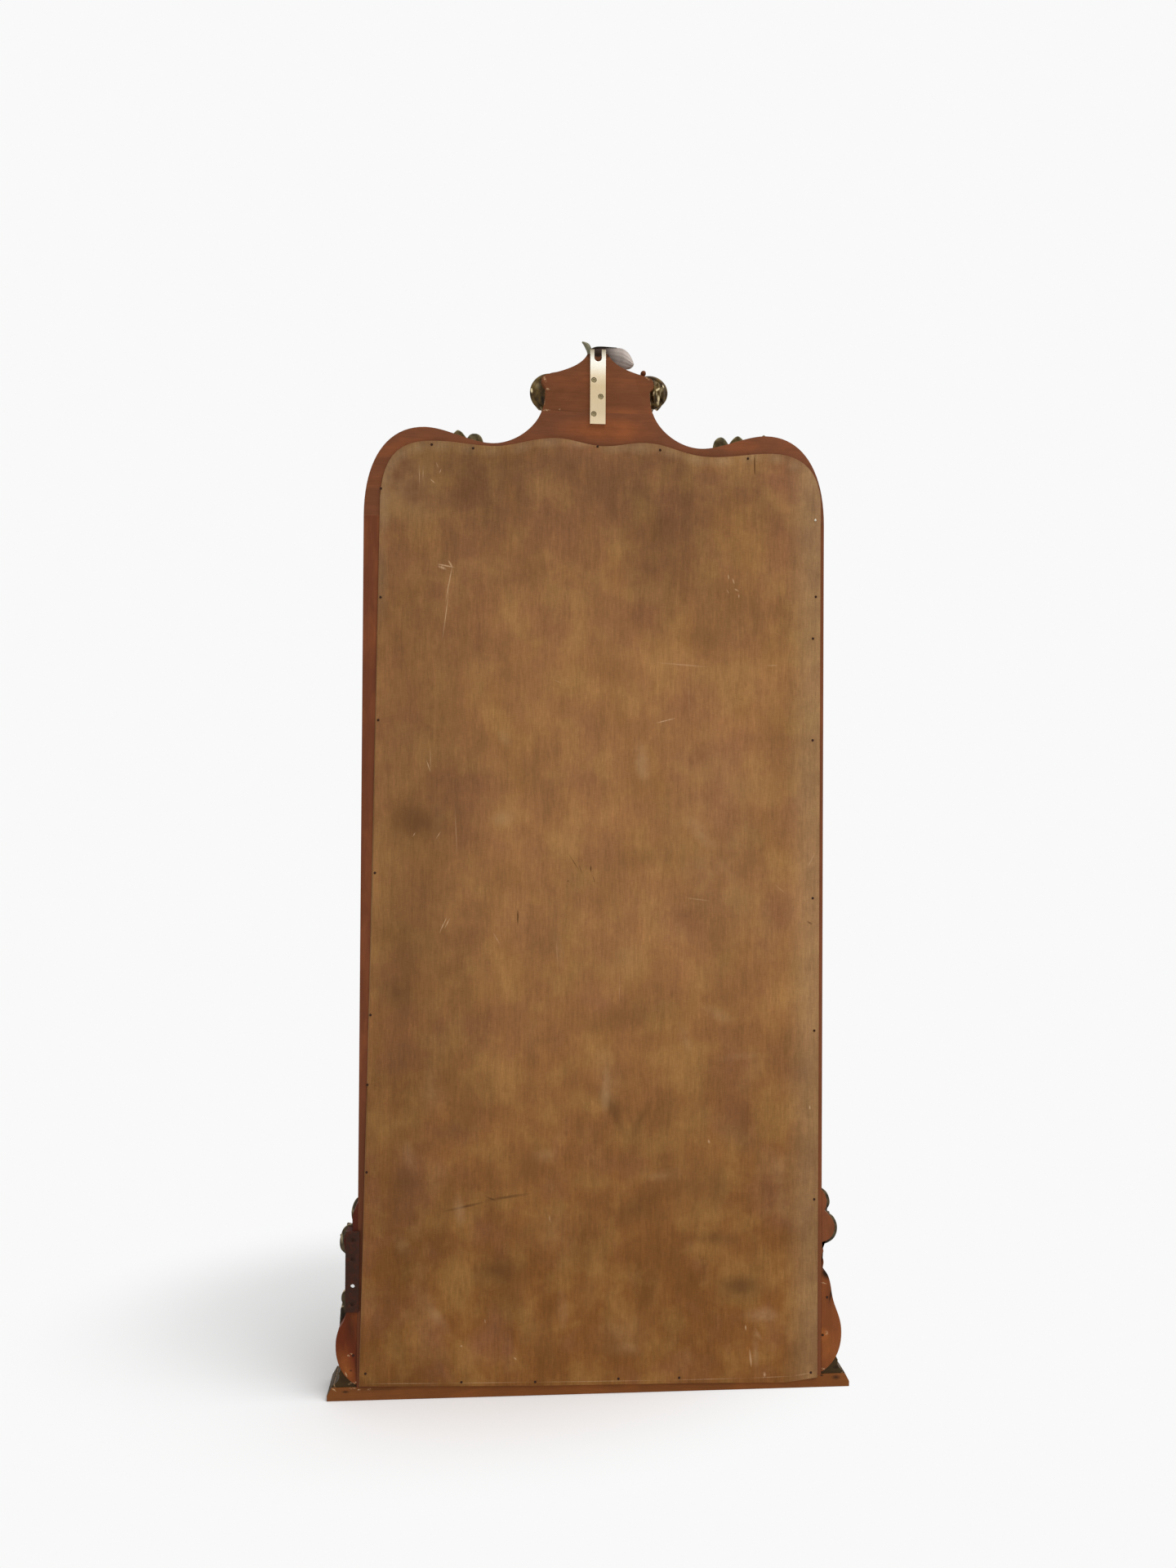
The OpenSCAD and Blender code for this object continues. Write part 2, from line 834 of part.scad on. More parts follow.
module top_moulding() {
    outer = inside(0);
    sight = inside(band_w);
    color(gilt)
        loft([for (i = [0 : len(outer) - 1])
            [for (p = profile)
                let (q = outer[i] + (sight[i] - outer[i]) * p[0] / band_w)
                [q[0], back_y - carcass_t - p[1], q[1]]]]);
}

// Carving, built from balls joined in rows. A ball is [x, z, depth, radius].

module ball(b, n = 14) {
    facing()
        translate([b[0], b[1], b[2]])
            sphere(r = b[3], $fn = n);
}

module row(balls, n = 14) {
    for (i = [0 : len(balls) - 2])
        hull() {
            ball(balls[i], n);
            ball(balls[i + 1], n);
        }
}

// Everything behind a depth, as a cutter.
module behind(d) {
    block(-2 * half_w, 2 * half_w, -plinth_h, 2 * spring_z, d - cut_far, d);
}

// A scroll that winds inwards from radius r0 to r1, starting at angle a0.
function scroll(centre, r0, r1, a0, turns, d, b0, b1, steps) = [
    for (i = [0 : steps])
        let (t = i / steps, r = r0 + (r1 - r0) * t, a = a0 + 360 * turns * t)
        [centre[0] + r * cos(a), centre[1] + r * sin(a), d, b0 + (b1 - b0) * t]
];

foot_stem_d = carcass_t + foot_slab_t;

module foot_scroll(top_z, stem_top, stem_out) {
    curve = foot_curve(top_z);
    belly = [half_w - 4, foot_belly_z];
    stem = [for (t = [0 : 0.25 : 1])
        bezier_point([[half_w + stem_out, stem_top], [half_w + stem_out + 1, stem_top - 20],
            [half_w + foot_out - 8, foot_belly_z + 36], [half_w + foot_out - 9, foot_belly_z + 4]], t)];
    difference() {
        union() {
            slab(carcass_t, foot_stem_d)
                polygon(concat([[half_w, top_z]], curve,
                    [[half_w, plinth_t + 5], [half_w, plinth_h], [half_w - band_w, plinth_h],
                        [half_w - band_w, foot_ledge], [half_w, foot_ledge]]));
            row([for (i = [0 : 4]) [stem[i][0], stem[i][1], foot_stem_d, 5 + i * 0.7]]);
            row(scroll(belly, 27, 8, 0, -1.2, foot_stem_d, 7.5, 5, 11));
            ball([belly[0], belly[1], foot_stem_d + 1, 9]);
            for (x = [half_w - 56, half_w - 40, half_w - 24])
                row([
                    [x * 0.5 + (half_w - 40) * 0.5, plinth_h + 12, foot_stem_d, 5],
                    [x, foot_ledge - 46, foot_stem_d + 4, 8],
                    [x * 1.04 - (half_w - 40) * 0.04, foot_ledge - 14, foot_stem_d + 2, 6]
                ]);
        }
        behind(carcass_t);
        block(-half_w, half_w - 1 + seat, foot_ledge, spring_z, 0, cut_far);
    }
}

module left_foot_scroll() {
    color(gilt)
        mirror([1, 0, 0])
            foot_scroll(foot_top_left, foot_top_left - 12, 11);
}

module right_foot_scroll() {
    color(gilt)
        foot_scroll(foot_top_right - 15, foot_top_right - 27, 25);
}

// The ribs of an ear fan outwards from the edge of the frame.
module ear(reach) {
    difference() {
        union() {
            for (a = [-72 : 36 : 72])
                row([[half_w + 1, ear_z, carcass_t + 4, 6],
                    [half_w + (reach - 6) * cos(a), ear_z + (ear_r - 5) * sin(a), carcass_t + 6, 6]]);
            for (a = [-60 : 60 : 60])
                row([[half_w + 1, ear_small_z, carcass_t + 3, 4],
                    [half_w + (ear_small_r - 4) * cos(a), ear_small_z + (ear_small_r - 4) * sin(a),
                        carcass_t + 4, 4]]);
            row([[half_w + 4, ear_z, carcass_t + 4, 6], [half_w + 4, ear_small_z, carcass_t + 2, 5]]);
        }
        behind(carcass_t);
        block(-2 * half_w, half_w - 1 + seat, 0, 2 * spring_z, 0, cut_far);
    }
}

module left_ear() {
    color(gilt)
        mirror([1, 0, 0])
            ear(ear_r - 1);
}

module right_ear() {
    color(gilt)
        ear(ear_r + 4);
}

// A spray of leaves on the ledge of a shoulder. Each leaf is [share of the way along, lift, lean].
module shoulder_leaf(leaves) {
    ledge_d = carcass_t + ledge_h;
    stem = [for (t = [0.1 : 0.18 : 1]) bezier_point(outer_curves[1], t) - [0, 5]];
    difference() {
        union() {
            row([for (i = [0 : len(stem) - 1]) [stem[i][0], stem[i][1], ledge_d + 3, 5]]);
            for (leaf = leaves) {
                root = bezier_point(outer_curves[1], leaf[0]);
                row([
                    [root[0], root[1] - 4, ledge_d + 3, 5],
                    [root[0] + leaf[2] * 0.6, root[1] + leaf[1] * 0.55, ledge_d + 5, 7],
                    [root[0] + leaf[2], root[1] + leaf[1] - 3, ledge_d + 2, 3.5]
                ]);
            }
        }
        behind(ledge_d);
        slab(0, cut_far)
            polygon(strip(ledge_w - 0.5, band_w));
    }
}

module left_shoulder_leaf() {
    color(gilt_dark)
        mirror([1, 0, 0])
            shoulder_leaf([[0.28, 19, 2], [0.52, 23, -4], [0.8, 17, -10]]);
}

module right_shoulder_leaf() {
    color(gilt_dark)
        shoulder_leaf([[0.5, 20, -3], [0.76, 19, -6]]);
}

// A scroll of the crest: its stem follows the neck, and its volute wraps the edge of the crest board.
module crest_scroll(volute_out, bud = []) {
    r = volute_r;
    volute = [crest_w / 2 + volute_out - 1.18 * r, neck_z + crest_h * 0.42];
    stem = [for (t = [0.35 : 0.13 : 1]) bezier_point(neck_curve, t) - [0.18 * r, 0.09 * r]];
    difference() {
        union() {
            row(concat(
                [for (i = [0 : len(stem) - 1])
                    [stem[i][0], stem[i][1], carcass_t + 0.1 * r, (0.23 + i * 0.027) * r]],
                [[volute[0] - 0.14 * r, volute[1] - 0.9 * r, carcass_t + 0.23 * r, 0.41 * r]]));
            hull() {
                ball([volute[0] + 0.18 * r, volute[1] - 0.41 * r, carcass_t + 0.27 * r, 0.91 * r], 18);
                ball([volute[0] + 0.18 * r, volute[1] + 0.18 * r, carcass_t + 0.27 * r, r], 18);
                ball([volute[0] - 0.14 * r, volute[1] + 0.68 * r, carcass_t + 0.27 * r, 0.64 * r], 18);
            }
            row(scroll(volute, 0.86 * r, 0.32 * r, -60, 1.1, carcass_t + r, 0.32 * r, 0.23 * r, 9));
            row([
                [volute[0] - 0.27 * r, volute[1] + 0.82 * r, carcass_t + 0.64 * r, 0.41 * r],
                [crest_w * 0.32, crest_top - crest_h * 0.36, carcass_t + 0.36 * r, 0.36 * r],
                [hang_w / 2 + r, crest_top - crest_h * 0.23, carcass_t + 0.27 * r, 0.32 * r],
                [hang_w / 2 + 0.27 * r, crest_top - crest_h * 0.06, carcass_t + 0.23 * r, 0.27 * r]
            ]);
            if (len(bud) > 0)
                row([[bud[0], bud[1], carcass_t + 0.32 * r, 0.2 * r],
                    [bud[0] - 0.09 * r, bud[1] - 0.55 * r, carcass_t + 0.41 * r, 0.18 * r]]);
        }
        slab(-plinth_d, carcass_t)
            offset(delta = seat)
                polygon(concat(wood_line, crest_edge, flipped(mirrored(crest_edge)),
                    flipped(mirrored(wood_line))));
        behind(carcass_t - 0.91 * r);
        slab(0, cut_far)
            polygon(strip(0, band_w));
    }
}

// The left scroll has a small bud above its volute.
module left_crest_scroll() {
    color(gilt)
        mirror([1, 0, 0])
            crest_scroll(left_volute_out, [crest_w * 0.464, crest_top - crest_h * 0.18]);
}

module right_crest_scroll() {
    color(gilt)
        crest_scroll(right_volute_out);
}

shell_r = crest_h * 0.55;
shell_base_z = spring_z + centre_rise + shell_r * 0.27;

module crest_shell() {
    color(gilt)
        difference() {
            union() {
                for (a = [24 : 22 : 156])
                    row([
                        [0, shell_base_z, carcass_t + 5, 7],
                        [0.6 * shell_r * cos(a), shell_base_z + 0.6 * shell_r * sin(a), carcass_t + 15, 8],
                        [shell_r * cos(a), shell_base_z + shell_r * sin(a), carcass_t + 8, 8.5]
                    ], 12);
                ball([0, shell_base_z, carcass_t + 9, 11]);
            }
            behind(carcass_t);
            slab(0, cut_far)
                polygon(strip(0, band_w));
        }
}

// A leaf station is [x, height above the crest board, depth, half width, half height, half thickness].
module leaf_row(stations, n = 12) {
    for (i = [0 : len(stations) - 2])
        hull()
            for (s = [stations[i], stations[i + 1]])
                facing()
                    translate([s[0], crest_top + s[1], s[2]])
                        scale([s[3], s[4], s[5]])
                            sphere(r = 1, $fn = n);
}

module crest_plume() {
    color(leaf_silver)
        difference() {
            union() {
                leaf_row([
                    [0, -22, carcass_t + 4, 10, 8, 7],
                    [2, 6, carcass_t + 12, 10, 10, 5],
                    [11, 20, carcass_t + 10, 7, 8, 4],
                    [22, 31, carcass_t + 8, 3.5, 3.5, 2.5]
                ]);
                leaf_row([
                    [0, -4, carcass_t + 11, 9, 10, 6],
                    [-8, 12, carcass_t + 10, 9, 12, 5],
                    [-22, 14, carcass_t + 6, 10, 12, 4],
                    [-38, 9, carcass_t, 10, 12, 4],
                    [-49, 0, carcass_t - 5, 9, 10, 3],
                    [-54, -7, carcass_t - 8, 5, 4, 2]
                ]);
            }
            slab(-plinth_d, carcass_t)
                offset(delta = seat)
                    polygon(concat(crest_edge, flipped(mirrored(crest_edge))));
        }
}

left_stile();
right_stile();
top_rail();
bottom_rail();
crest_board();
crest_dowels();
left_ear_block();
right_ear_block();
left_foot_block();
right_foot_block();
plinth_board();
plinth_core();
plinth_front();
plinth_left_return();
plinth_right_return();
plinth_screws();
mirror_glass();
glazing_blocks();
backboard();
backboard_nails();
block_nails();
hanging_plate();
hanging_plate_screws();
mending_plate();
mending_plate_screws();
left_slip();
right_slip();
top_slip();
bottom_slip();
left_moulding();
right_moulding();
top_moulding();
bottom_moulding();
left_foot_scroll();
right_foot_scroll();
left_ear();
right_ear();
left_shoulder_leaf();
right_shoulder_leaf();
left_crest_scroll();
right_crest_scroll();
crest_shell();
crest_plume();
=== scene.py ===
"""A tall gilt wall mirror on a stained softwood carcass, seen in the photograph from behind.

Sizes are in millimetres as seen from the front: x across, z up, and d is the depth forward from the
back of the carcass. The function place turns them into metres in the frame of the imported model.
"""

import math
from contextlib import contextmanager

import bmesh
import bpy
from bpy.props import FloatProperty, FloatVectorProperty, PointerProperty
from mathutils import Matrix, Vector


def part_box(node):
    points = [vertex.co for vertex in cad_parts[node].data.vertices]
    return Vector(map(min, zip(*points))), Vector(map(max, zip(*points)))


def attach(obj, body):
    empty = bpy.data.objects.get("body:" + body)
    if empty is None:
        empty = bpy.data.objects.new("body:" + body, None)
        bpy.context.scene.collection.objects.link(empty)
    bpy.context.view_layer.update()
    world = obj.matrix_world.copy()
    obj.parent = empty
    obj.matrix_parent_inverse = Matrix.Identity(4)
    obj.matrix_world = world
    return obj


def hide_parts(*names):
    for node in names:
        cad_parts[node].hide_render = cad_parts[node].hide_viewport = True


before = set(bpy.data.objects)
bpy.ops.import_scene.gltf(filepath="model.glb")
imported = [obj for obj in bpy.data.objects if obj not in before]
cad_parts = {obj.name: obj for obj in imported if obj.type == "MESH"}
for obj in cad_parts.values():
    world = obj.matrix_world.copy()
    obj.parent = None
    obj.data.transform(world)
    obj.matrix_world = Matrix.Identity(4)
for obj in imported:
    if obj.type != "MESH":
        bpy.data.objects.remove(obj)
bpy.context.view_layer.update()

bl_info = {
    "name": "Gilt wall mirror",
    "version": (1, 0, 0),
    "blender": (4, 5, 0),
    "location": "3D View > Sidebar > Mirror",
    "description": "Builds the back, plates, mouldings and carving of a gilt wall mirror",
    "category": "Object",
}

MM = 0.001
BACK_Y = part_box("left_ear_block")[1].y
HALF_W = 370
SPRING_Z = 1390
NECK_Z = 1563
SHELL_Z = 1549
CARCASS_T = 28
# A board that is drawn anew stops this short of the moulding in front of it.
GAP = 0.1
BOARD_T = 3
BAND_W = 70
MOULDING_FOOT = 176
LEDGE_H = 14

# The ends and the front of the plinth lean in, each by its own share of the height above LEAN_FROM.
PLINTH_H = 46
PLINTH_D = 80
PLINTH_HALF_W = 416
LEAN_FROM = 8
END_LEAN = 0.5266
FRONT_LEAN = 0.3158

# The slotted plate, and the round foot of its slot.
PLATE_T = 4
PLATE_HALF_W = 12.5
PLATE_FOOT = 1544
PLATE_TOP = 1664
SLOT_R = 6
SLOT_Z = 1650.5

# The shaped top, from the right spring to the centre line: the outer edge and the sight line.
OUTER_CURVES = (
    ((370, 1390), (370, 1478.7), (334.8, 1533), (274.9, 1533)),
    ((274.9, 1533), (240.5, 1533), (205.35, 1511), (170.2, 1510)),
    ((170.2, 1510), (131.35, 1509), (70.3, 1536), (0, 1536)),
)
SIGHT_CURVES = (
    ((300, 1390), (300, 1436), (276, 1463), (237.9, 1463)),
    ((237.9, 1463), (212, 1463), (189.8, 1441), (159.8, 1440)),
    ((159.8, 1440), (114.7, 1439), (65.1, 1466), (0, 1466)),
)
# Where the volutes wrap the crest board, the board's shoulders reach this far out.
CHEEKS = (
    ((60, 1621), (66, 1627), (73, 1625.6), (80, 1623.4), (87.5, 1620), (90.2, 1616), (88, 1607.5),
     (82.5, 1599), (80.6, 1593), (82, 1588), (76, 1588), (66, 1600)),
    ((-60, 1621), (-66, 1600), (-76, 1588), (-81.6, 1589), (-82, 1595), (-84.6, 1600.5),
     (-90.2, 1605.5), (-90.7, 1610), (-89.5, 1616), (-86, 1620.4), (-78.7, 1623.1), (-73, 1625),
     (-66, 1627)),
)
NECK_CURVE = ((170.2, 1510), (135.05, 1509), (100.1, 1534.9), (90, 1563))
SHOULDER_CURVE = OUTER_CURVES[1]


# Colour and place


def linear(hex_colour):
    """An sRGB hex colour as linear red, green, blue and alpha."""
    parts = [int(hex_colour[i:i + 2], 16) / 255 for i in (1, 3, 5)]
    return (*[c / 12.92 if c <= 0.04045 else ((c + 0.055) / 1.055) ** 2.4 for c in parts], 1.0)


def place(x, z, d):
    """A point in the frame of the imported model, from millimetres."""
    return Vector((x * MM, BACK_Y - d * MM, z * MM))


def bezier(points, t):
    """The point at t on a cubic curve through its four control points."""
    a, b, c, e = (Vector(p) for p in points)
    return a * (1 - t) ** 3 + b * (3 * t * (1 - t) ** 2) + c * (3 * t * t * (1 - t)) + e * t ** 3


def chain(curves, steps):
    """The points of several curves that follow each other."""
    points = [bezier(curve, i / steps) for curve in curves for i in range(steps)]
    return points + [Vector(curves[-1][3])]


def mix(a, b, t):
    """What lies at t between a and b."""
    return a + (b - a) * t


def mix_colour(a, b, t):
    """The colour at t between two colours."""
    return tuple(mix(p, q, t) for p, q in zip(a, b))


def arc(x, z, wide, tall, degrees):
    """Points (x, z) on an ellipse about a centre, at these angles."""
    return [(x + wide * math.cos(math.radians(a)), z + tall * math.sin(math.radians(a)))
            for a in degrees]


# Modelling


def only(piece):
    """Selects one piece and nothing else."""
    bpy.ops.object.select_all(action="DESELECT")
    piece.select_set(True)
    bpy.context.view_layer.objects.active = piece
    return piece


def put(name, data):
    """Puts new data in the scene as an object, selected on its own."""
    piece = bpy.data.objects.new(name, data)
    bpy.context.scene.collection.objects.link(piece)
    return only(piece)


@contextmanager
def editing(piece):
    """Edit mode on one piece, with all of it selected."""
    only(piece)
    bpy.ops.object.mode_set(mode="EDIT")
    bpy.ops.mesh.select_all(action="SELECT")
    yield
    bpy.ops.object.mode_set(mode="OBJECT")


def apply(piece, kind, **settings):
    """Adds a modifier to a piece and applies it."""
    only(piece)
    modifier = piece.modifiers.new(kind.title(), kind)
    for name, value in settings.items():
        setattr(modifier, name, value)
    bpy.ops.object.modifier_apply(modifier=modifier.name)
    return piece


def smooth(piece, angle=35):
    """Shades a piece smooth, apart from edges sharper than an angle in degrees."""
    only(piece)
    bpy.ops.object.shade_smooth_by_angle(angle=math.radians(angle))
    return piece


def copy_of(node, name):
    """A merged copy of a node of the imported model, with flat faces joined."""
    piece = put(name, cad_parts[node].data.copy())
    piece.data.materials.clear()
    bpy.ops.mesh.customdata_custom_splitnormals_clear()
    with editing(piece):
        bpy.ops.mesh.remove_doubles(threshold=0.01 * MM)
        bpy.ops.mesh.dissolve_limited(angle_limit=math.radians(1))
    return piece


def choose_edges(piece, test):
    """Selects, in edit mode, the edges that pass a test."""
    bpy.ops.mesh.select_mode(type="EDGE")
    bpy.ops.mesh.select_all(action="DESELECT")
    mesh = bmesh.from_edit_mesh(piece.data)
    for edge in mesh.edges:
        edge.select_set(test(edge))
    mesh.select_flush_mode()
    bmesh.update_edit_mesh(piece.data)


def soften(piece, width, keep=lambda edge: False, shortest=1.2):
    """Rounds the sharp edges of a board, but not the rims of its small holes."""
    with editing(piece):
        choose_edges(piece, lambda edge: len(edge.link_faces) == 2
                     and edge.calc_face_angle(0) > math.radians(30)
                     and edge.calc_length() > shortest * MM and not keep(edge))
        bpy.ops.mesh.bevel(offset=width * MM, segments=2, affect="EDGES", clamp_overlap=False)
    return smooth(piece)


def skin(name, rings):
    """A closed solid through rings of points that all have the same number of points."""
    mesh = bmesh.new()
    rows = [[mesh.verts.new(p) for p in ring] for ring in rings]
    count = len(rows[0])
    for low, high in zip(rows, rows[1:]):
        for j in range(count):
            k = (j + 1) % count
            mesh.faces.new((low[j], low[k], high[k], high[j]))
    mesh.faces.new(rows[0][::-1])
    mesh.faces.new(rows[-1])
    bmesh.ops.recalc_face_normals(mesh, faces=mesh.faces)
    data = bpy.data.meshes.new(name)
    mesh.to_mesh(data)
    mesh.free()
    return put(name, data)


def rod(points, radii):
    """A round rod through points given as (x, z, d), each with its own radius in millimetres."""
    curve = bpy.data.curves.new("rod", "CURVE")
    curve.dimensions = "3D"
    curve.bevel_depth = 1
    curve.bevel_resolution = 4
    curve.resolution_u = 6
    curve.use_fill_caps = True
    spline = curve.splines.new("NURBS")
    spline.points.add(len(points) - 1)
    for point, (x, z, d), radius in zip(spline.points, points, radii):
        point.co = (*place(x, z, d), 1)
        point.radius = radius * MM
    spline.order_u = 3
    spline.use_endpoint_u = True
    put("rod", curve)
    bpy.ops.object.convert(target="MESH")
    return bpy.context.object


def bead(x, z, d, radius, stretch=(1, 1, 1)):
    """A ball, stretched along x, z and d."""
    bpy.ops.object.select_all(action="DESELECT")
    bpy.ops.mesh.primitive_uv_sphere_add(segments=32, ring_count=16, radius=radius * MM)
    piece = bpy.context.object
    wide, tall, deep = stretch
    for vertex in piece.data.vertices:
        vertex.co = (vertex.co.x * wide, vertex.co.y * deep, vertex.co.z * tall)
    piece.data.transform(Matrix.Translation(place(x, z, d)))
    return piece


def leaf(spine, width, lobes=3, bow=4, thick=2.6, curl=0.35, rib=1.6):
    """A carved leaf along a curve of four points (x, z, d), with lobes and a sunk midrib."""
    bpy.ops.object.select_all(action="DESELECT")
    bpy.ops.mesh.primitive_grid_add(x_subdivisions=18, y_subdivisions=44, size=1)
    piece = bpy.context.object
    for vertex in piece.data.vertices:
        u, t = 2 * vertex.co.x, vertex.co.y + 0.5
        at = bezier(spine, t)
        along = (bezier(spine, min(t + 0.02, 1)) - bezier(spine, max(t - 0.02, 0))).normalized()
        across = Vector((along.y, -along.x, 0)).normalized()
        up = across.cross(along)
        reach = width * min(1, 0.5 + 2.2 * t) * (1 - t ** 2.4) ** 0.75
        lobe = abs(math.sin(math.pi * min(t * lobes, lobes - 0.001))) ** 0.55
        half = reach * (0.6 + 0.4 * lobe)
        height = bow * (1 - u * u) - rib * math.exp(-(u * 5) ** 2) + 1.4 * (lobe - 0.5) * abs(u)
        x, z, d = at + across * (u * half) + along * (curl * reach * u * u) + up * height
        vertex.co = place(x, z, d)
    return apply(piece, "SOLIDIFY", thickness=thick * MM, offset=0)


def spiral(x, z, r0, r1, start, turns, d0, d1, steps):
    """Points (x, z, d) that wind about a centre from radius r0 to r1; start is in degrees."""
    points = []
    for i in range(steps + 1):
        t = i / steps
        angle = math.radians(start + 360 * turns * t)
        r = mix(r0, r1, t ** 0.8)
        points.append((x + r * math.cos(angle), z + r * math.sin(angle), mix(d0, d1, t)))
    return points


def taper(r0, r1, count, swell=0.0):
    """Radii that run from r0 to r1 and swell between."""
    return [mix(r0, r1, i / (count - 1)) + swell * math.sin(math.pi * i / (count - 1))
            for i in range(count)]


def shape(name, outline, d0, d1, edge, holes=()):
    """A board from depth d0 to d1 with an outline of (x, z), rounded edges and round holes."""
    curve = bpy.data.curves.new(name, "CURVE")
    curve.dimensions = "2D"
    curve.fill_mode = "BOTH"
    half = (d1 - d0) / 2
    curve.extrude = (half - edge) * MM
    curve.bevel_depth = edge * MM
    curve.offset = -edge * MM
    for ring in [outline] + [arc(x, z, r, r, range(0, 360, 15)) for x, z, r in holes]:
        spline = curve.splines.new("POLY")
        spline.points.add(len(ring) - 1)
        for point, (x, z) in zip(spline.points, ring):
            point.co = (x * MM, z * MM, 0, 1)
        spline.use_cyclic_u = True
    put(name, curve)
    bpy.ops.object.convert(target="MESH")
    piece = bpy.context.object
    piece.name = piece.data.name = name
    for vertex in piece.data.vertices:
        x, z, lift = vertex.co
        vertex.co = (x, BACK_Y - (d0 + half) * MM - lift, z)
    return piece


def through(points, count):
    """A smooth line through points of two or three numbers, as count + 1 places."""
    points = [Vector(p) for p in points]
    spans = len(points) - 1
    line = []
    for i in range(count + 1):
        at = min(i * spans / count, spans - 1e-6)
        k, t = int(at), at - int(at)
        a, b, c, e = (points[min(max(k + j, 0), spans)] for j in (-1, 0, 1, 2))
        line.append(0.5 * (2 * b + (c - a) * t + (2 * a - 5 * b + 4 * c - e) * t * t
                           + (3 * b - a - 3 * c + e) * t ** 3))
    return line


def sheet(top, foot, belly=0.0, thick=4.0, ribs=0, rib=0.0, rows=32, cols=14):
    """A closed leaf between two smooth edges through points (x, z, d), with a belly and ribs."""
    rings = []
    for i, (a, b) in enumerate(zip(through(top, rows), through(foot, rows))):
        back, front = [], []
        for j in range(cols + 1):
            s = j / cols
            x, z, d = a.lerp(b, s)
            arch = math.sin(math.pi * s)
            d -= belly * arch + rib * math.sin(2 * math.pi * ribs * s) * i / rows
            half = thick * (0.2 + 0.8 * arch ** 0.5) / 2
            back.append(place(x, z, d - half))
            front.append(place(x, z, d + half))
        rings.append(back + front[::-1])
    return skin("sheet", rings)


def join(parts, name):
    """Joins parts into one piece."""
    bpy.ops.object.select_all(action="DESELECT")
    for part in parts:
        part.select_set(True)
    bpy.context.view_layer.objects.active = parts[0]
    bpy.ops.object.join()
    piece = bpy.context.object
    piece.name = piece.data.name = name
    return piece


def carve(name, parts, grain, flat_back=None, share=0.5):
    """Joins parts into one carved solid of even small faces, and cuts its back flat at a depth."""
    piece = join(parts, name)
    apply(piece, "REMESH", mode="VOXEL", voxel_size=grain, use_smooth_shade=True)
    if flat_back is not None:
        with editing(piece):
            bpy.ops.mesh.bisect(plane_co=place(0, 0, flat_back), plane_no=(0, 1, 0), use_fill=True,
                                clear_outer=True)
    apply(piece, "SMOOTH", factor=0.5, iterations=5)
    apply(piece, "DECIMATE", ratio=share)
    return smooth(piece, 60)


def finish(piece, nodes, slot, *materials):
    """Gives a finished piece its materials and its body, and hides the nodes that it stands for;
    its slot is not used.
    """
    for material in materials:
        piece.data.materials.append(material)
    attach(piece, "root")
    if nodes:
        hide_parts(*nodes)


def carve_pair(kind, node, make, sides, grain, gold, flat_back=None, share=0.5):
    """Carves a piece for each side from its form, given as on the right, and mirrors the left."""
    for side, form in sides.items():
        piece = carve(f"{side}_{kind}_carving", make(form), grain, flat_back, share)
        if side == "left":
            piece.data.transform(Matrix.Scale(-1, 4, (1, 0, 0)))
            piece.data.flip_normals()
        finish(piece, [f"{side}_{node}"], "gilt", gold)


def dress(node, material):
    """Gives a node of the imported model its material."""
    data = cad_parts[node].data
    data.materials.clear()
    data.materials.append(material)


def paint_faces(piece, index, test):
    """Gives the faces that pass a test another of the piece's materials."""
    for face in piece.data.polygons:
        if test(face):
            face.material_index = index


# Materials

# A Mix node of colours numbers its sockets like this.
FACTOR, A, B, RESULT = 0, 6, 7, 2
# A mask that is used as it is, from nothing to all of it.
WHOLE = (0, 1, 1)


def add(tree, kind, links=(), ramp=(), out=0, **settings):
    """Adds a node with its settings and links, and returns one of its outputs."""
    made = tree.nodes.new("ShaderNode" + kind)
    for name, value in settings.items():
        setattr(made, name, value)
    for socket, value in dict(links).items():
        if isinstance(value, bpy.types.NodeSocket):
            tree.links.new(value, made.inputs[socket])
        else:
            made.inputs[socket].default_value = value
    for i, (position, colour) in enumerate(ramp):
        elements = made.color_ramp.elements
        element = elements[i] if i < 2 else elements.new(position)
        element.position = position
        element.color = colour
    return made.outputs[out] if made.outputs else None


def new_material(name):
    """An empty material with its node tree and its Object coordinates."""
    made = bpy.data.materials.new(name)
    made.use_nodes = True
    tree = made.node_tree
    tree.nodes.clear()
    return made, tree, add(tree, "TexCoord", out="Object")


def marks(tree, where, table, breaks=None):
    """A mask of soft strokes. Each is x, z, tilt in degrees, half length, half width and strength.

    A pattern may break the strokes up. It is given with the range of it that counts, and with the
    shares of the strokes that are left at the two ends of that range.
    """
    total = 0.0
    for x, z, tilt, length, width, strength in table:
        here = add(tree, "Mapping", {"Vector": where, "Location": (x * MM, 0, z * MM),
                                     "Rotation": (0, -math.radians(tilt), 0),
                                     "Scale": (length * MM, 1000, width * MM)},
                   vector_type="TEXTURE")
        spot = add(tree, "TexGradient", {"Vector": here}, gradient_type="SPHERICAL", out="Fac")
        total = add(tree, "Math", {0: spot, 1: strength, 2: total}, operation="MULTIPLY_ADD")
    mask = add(tree, "Clamp", {"Value": total})
    if breaks:
        pattern, low, high, least, most = breaks
        left = add(tree, "MapRange", {"Value": pattern, "From Min": low, "From Max": high,
                                      "To Min": least, "To Max": most})
        mask = add(tree, "Math", {0: mask, 1: left}, operation="MULTIPLY")
    return mask


def shaded(tree, colour, *layers):
    """Multiplies a colour by patterns, each with the share by which it lightens and darkens."""
    for pattern, share in layers:
        level = add(tree, "MapRange", {"Value": pattern, "From Min": 0.3, "From Max": 0.7,
                                       "To Min": 1 - share, "To Max": 1 + share})
        colour = add(tree, "Mix", {FACTOR: 1.0, A: colour, B: level}, out=RESULT,
                     data_type="RGBA", blend_type="MULTIPLY")
    return colour


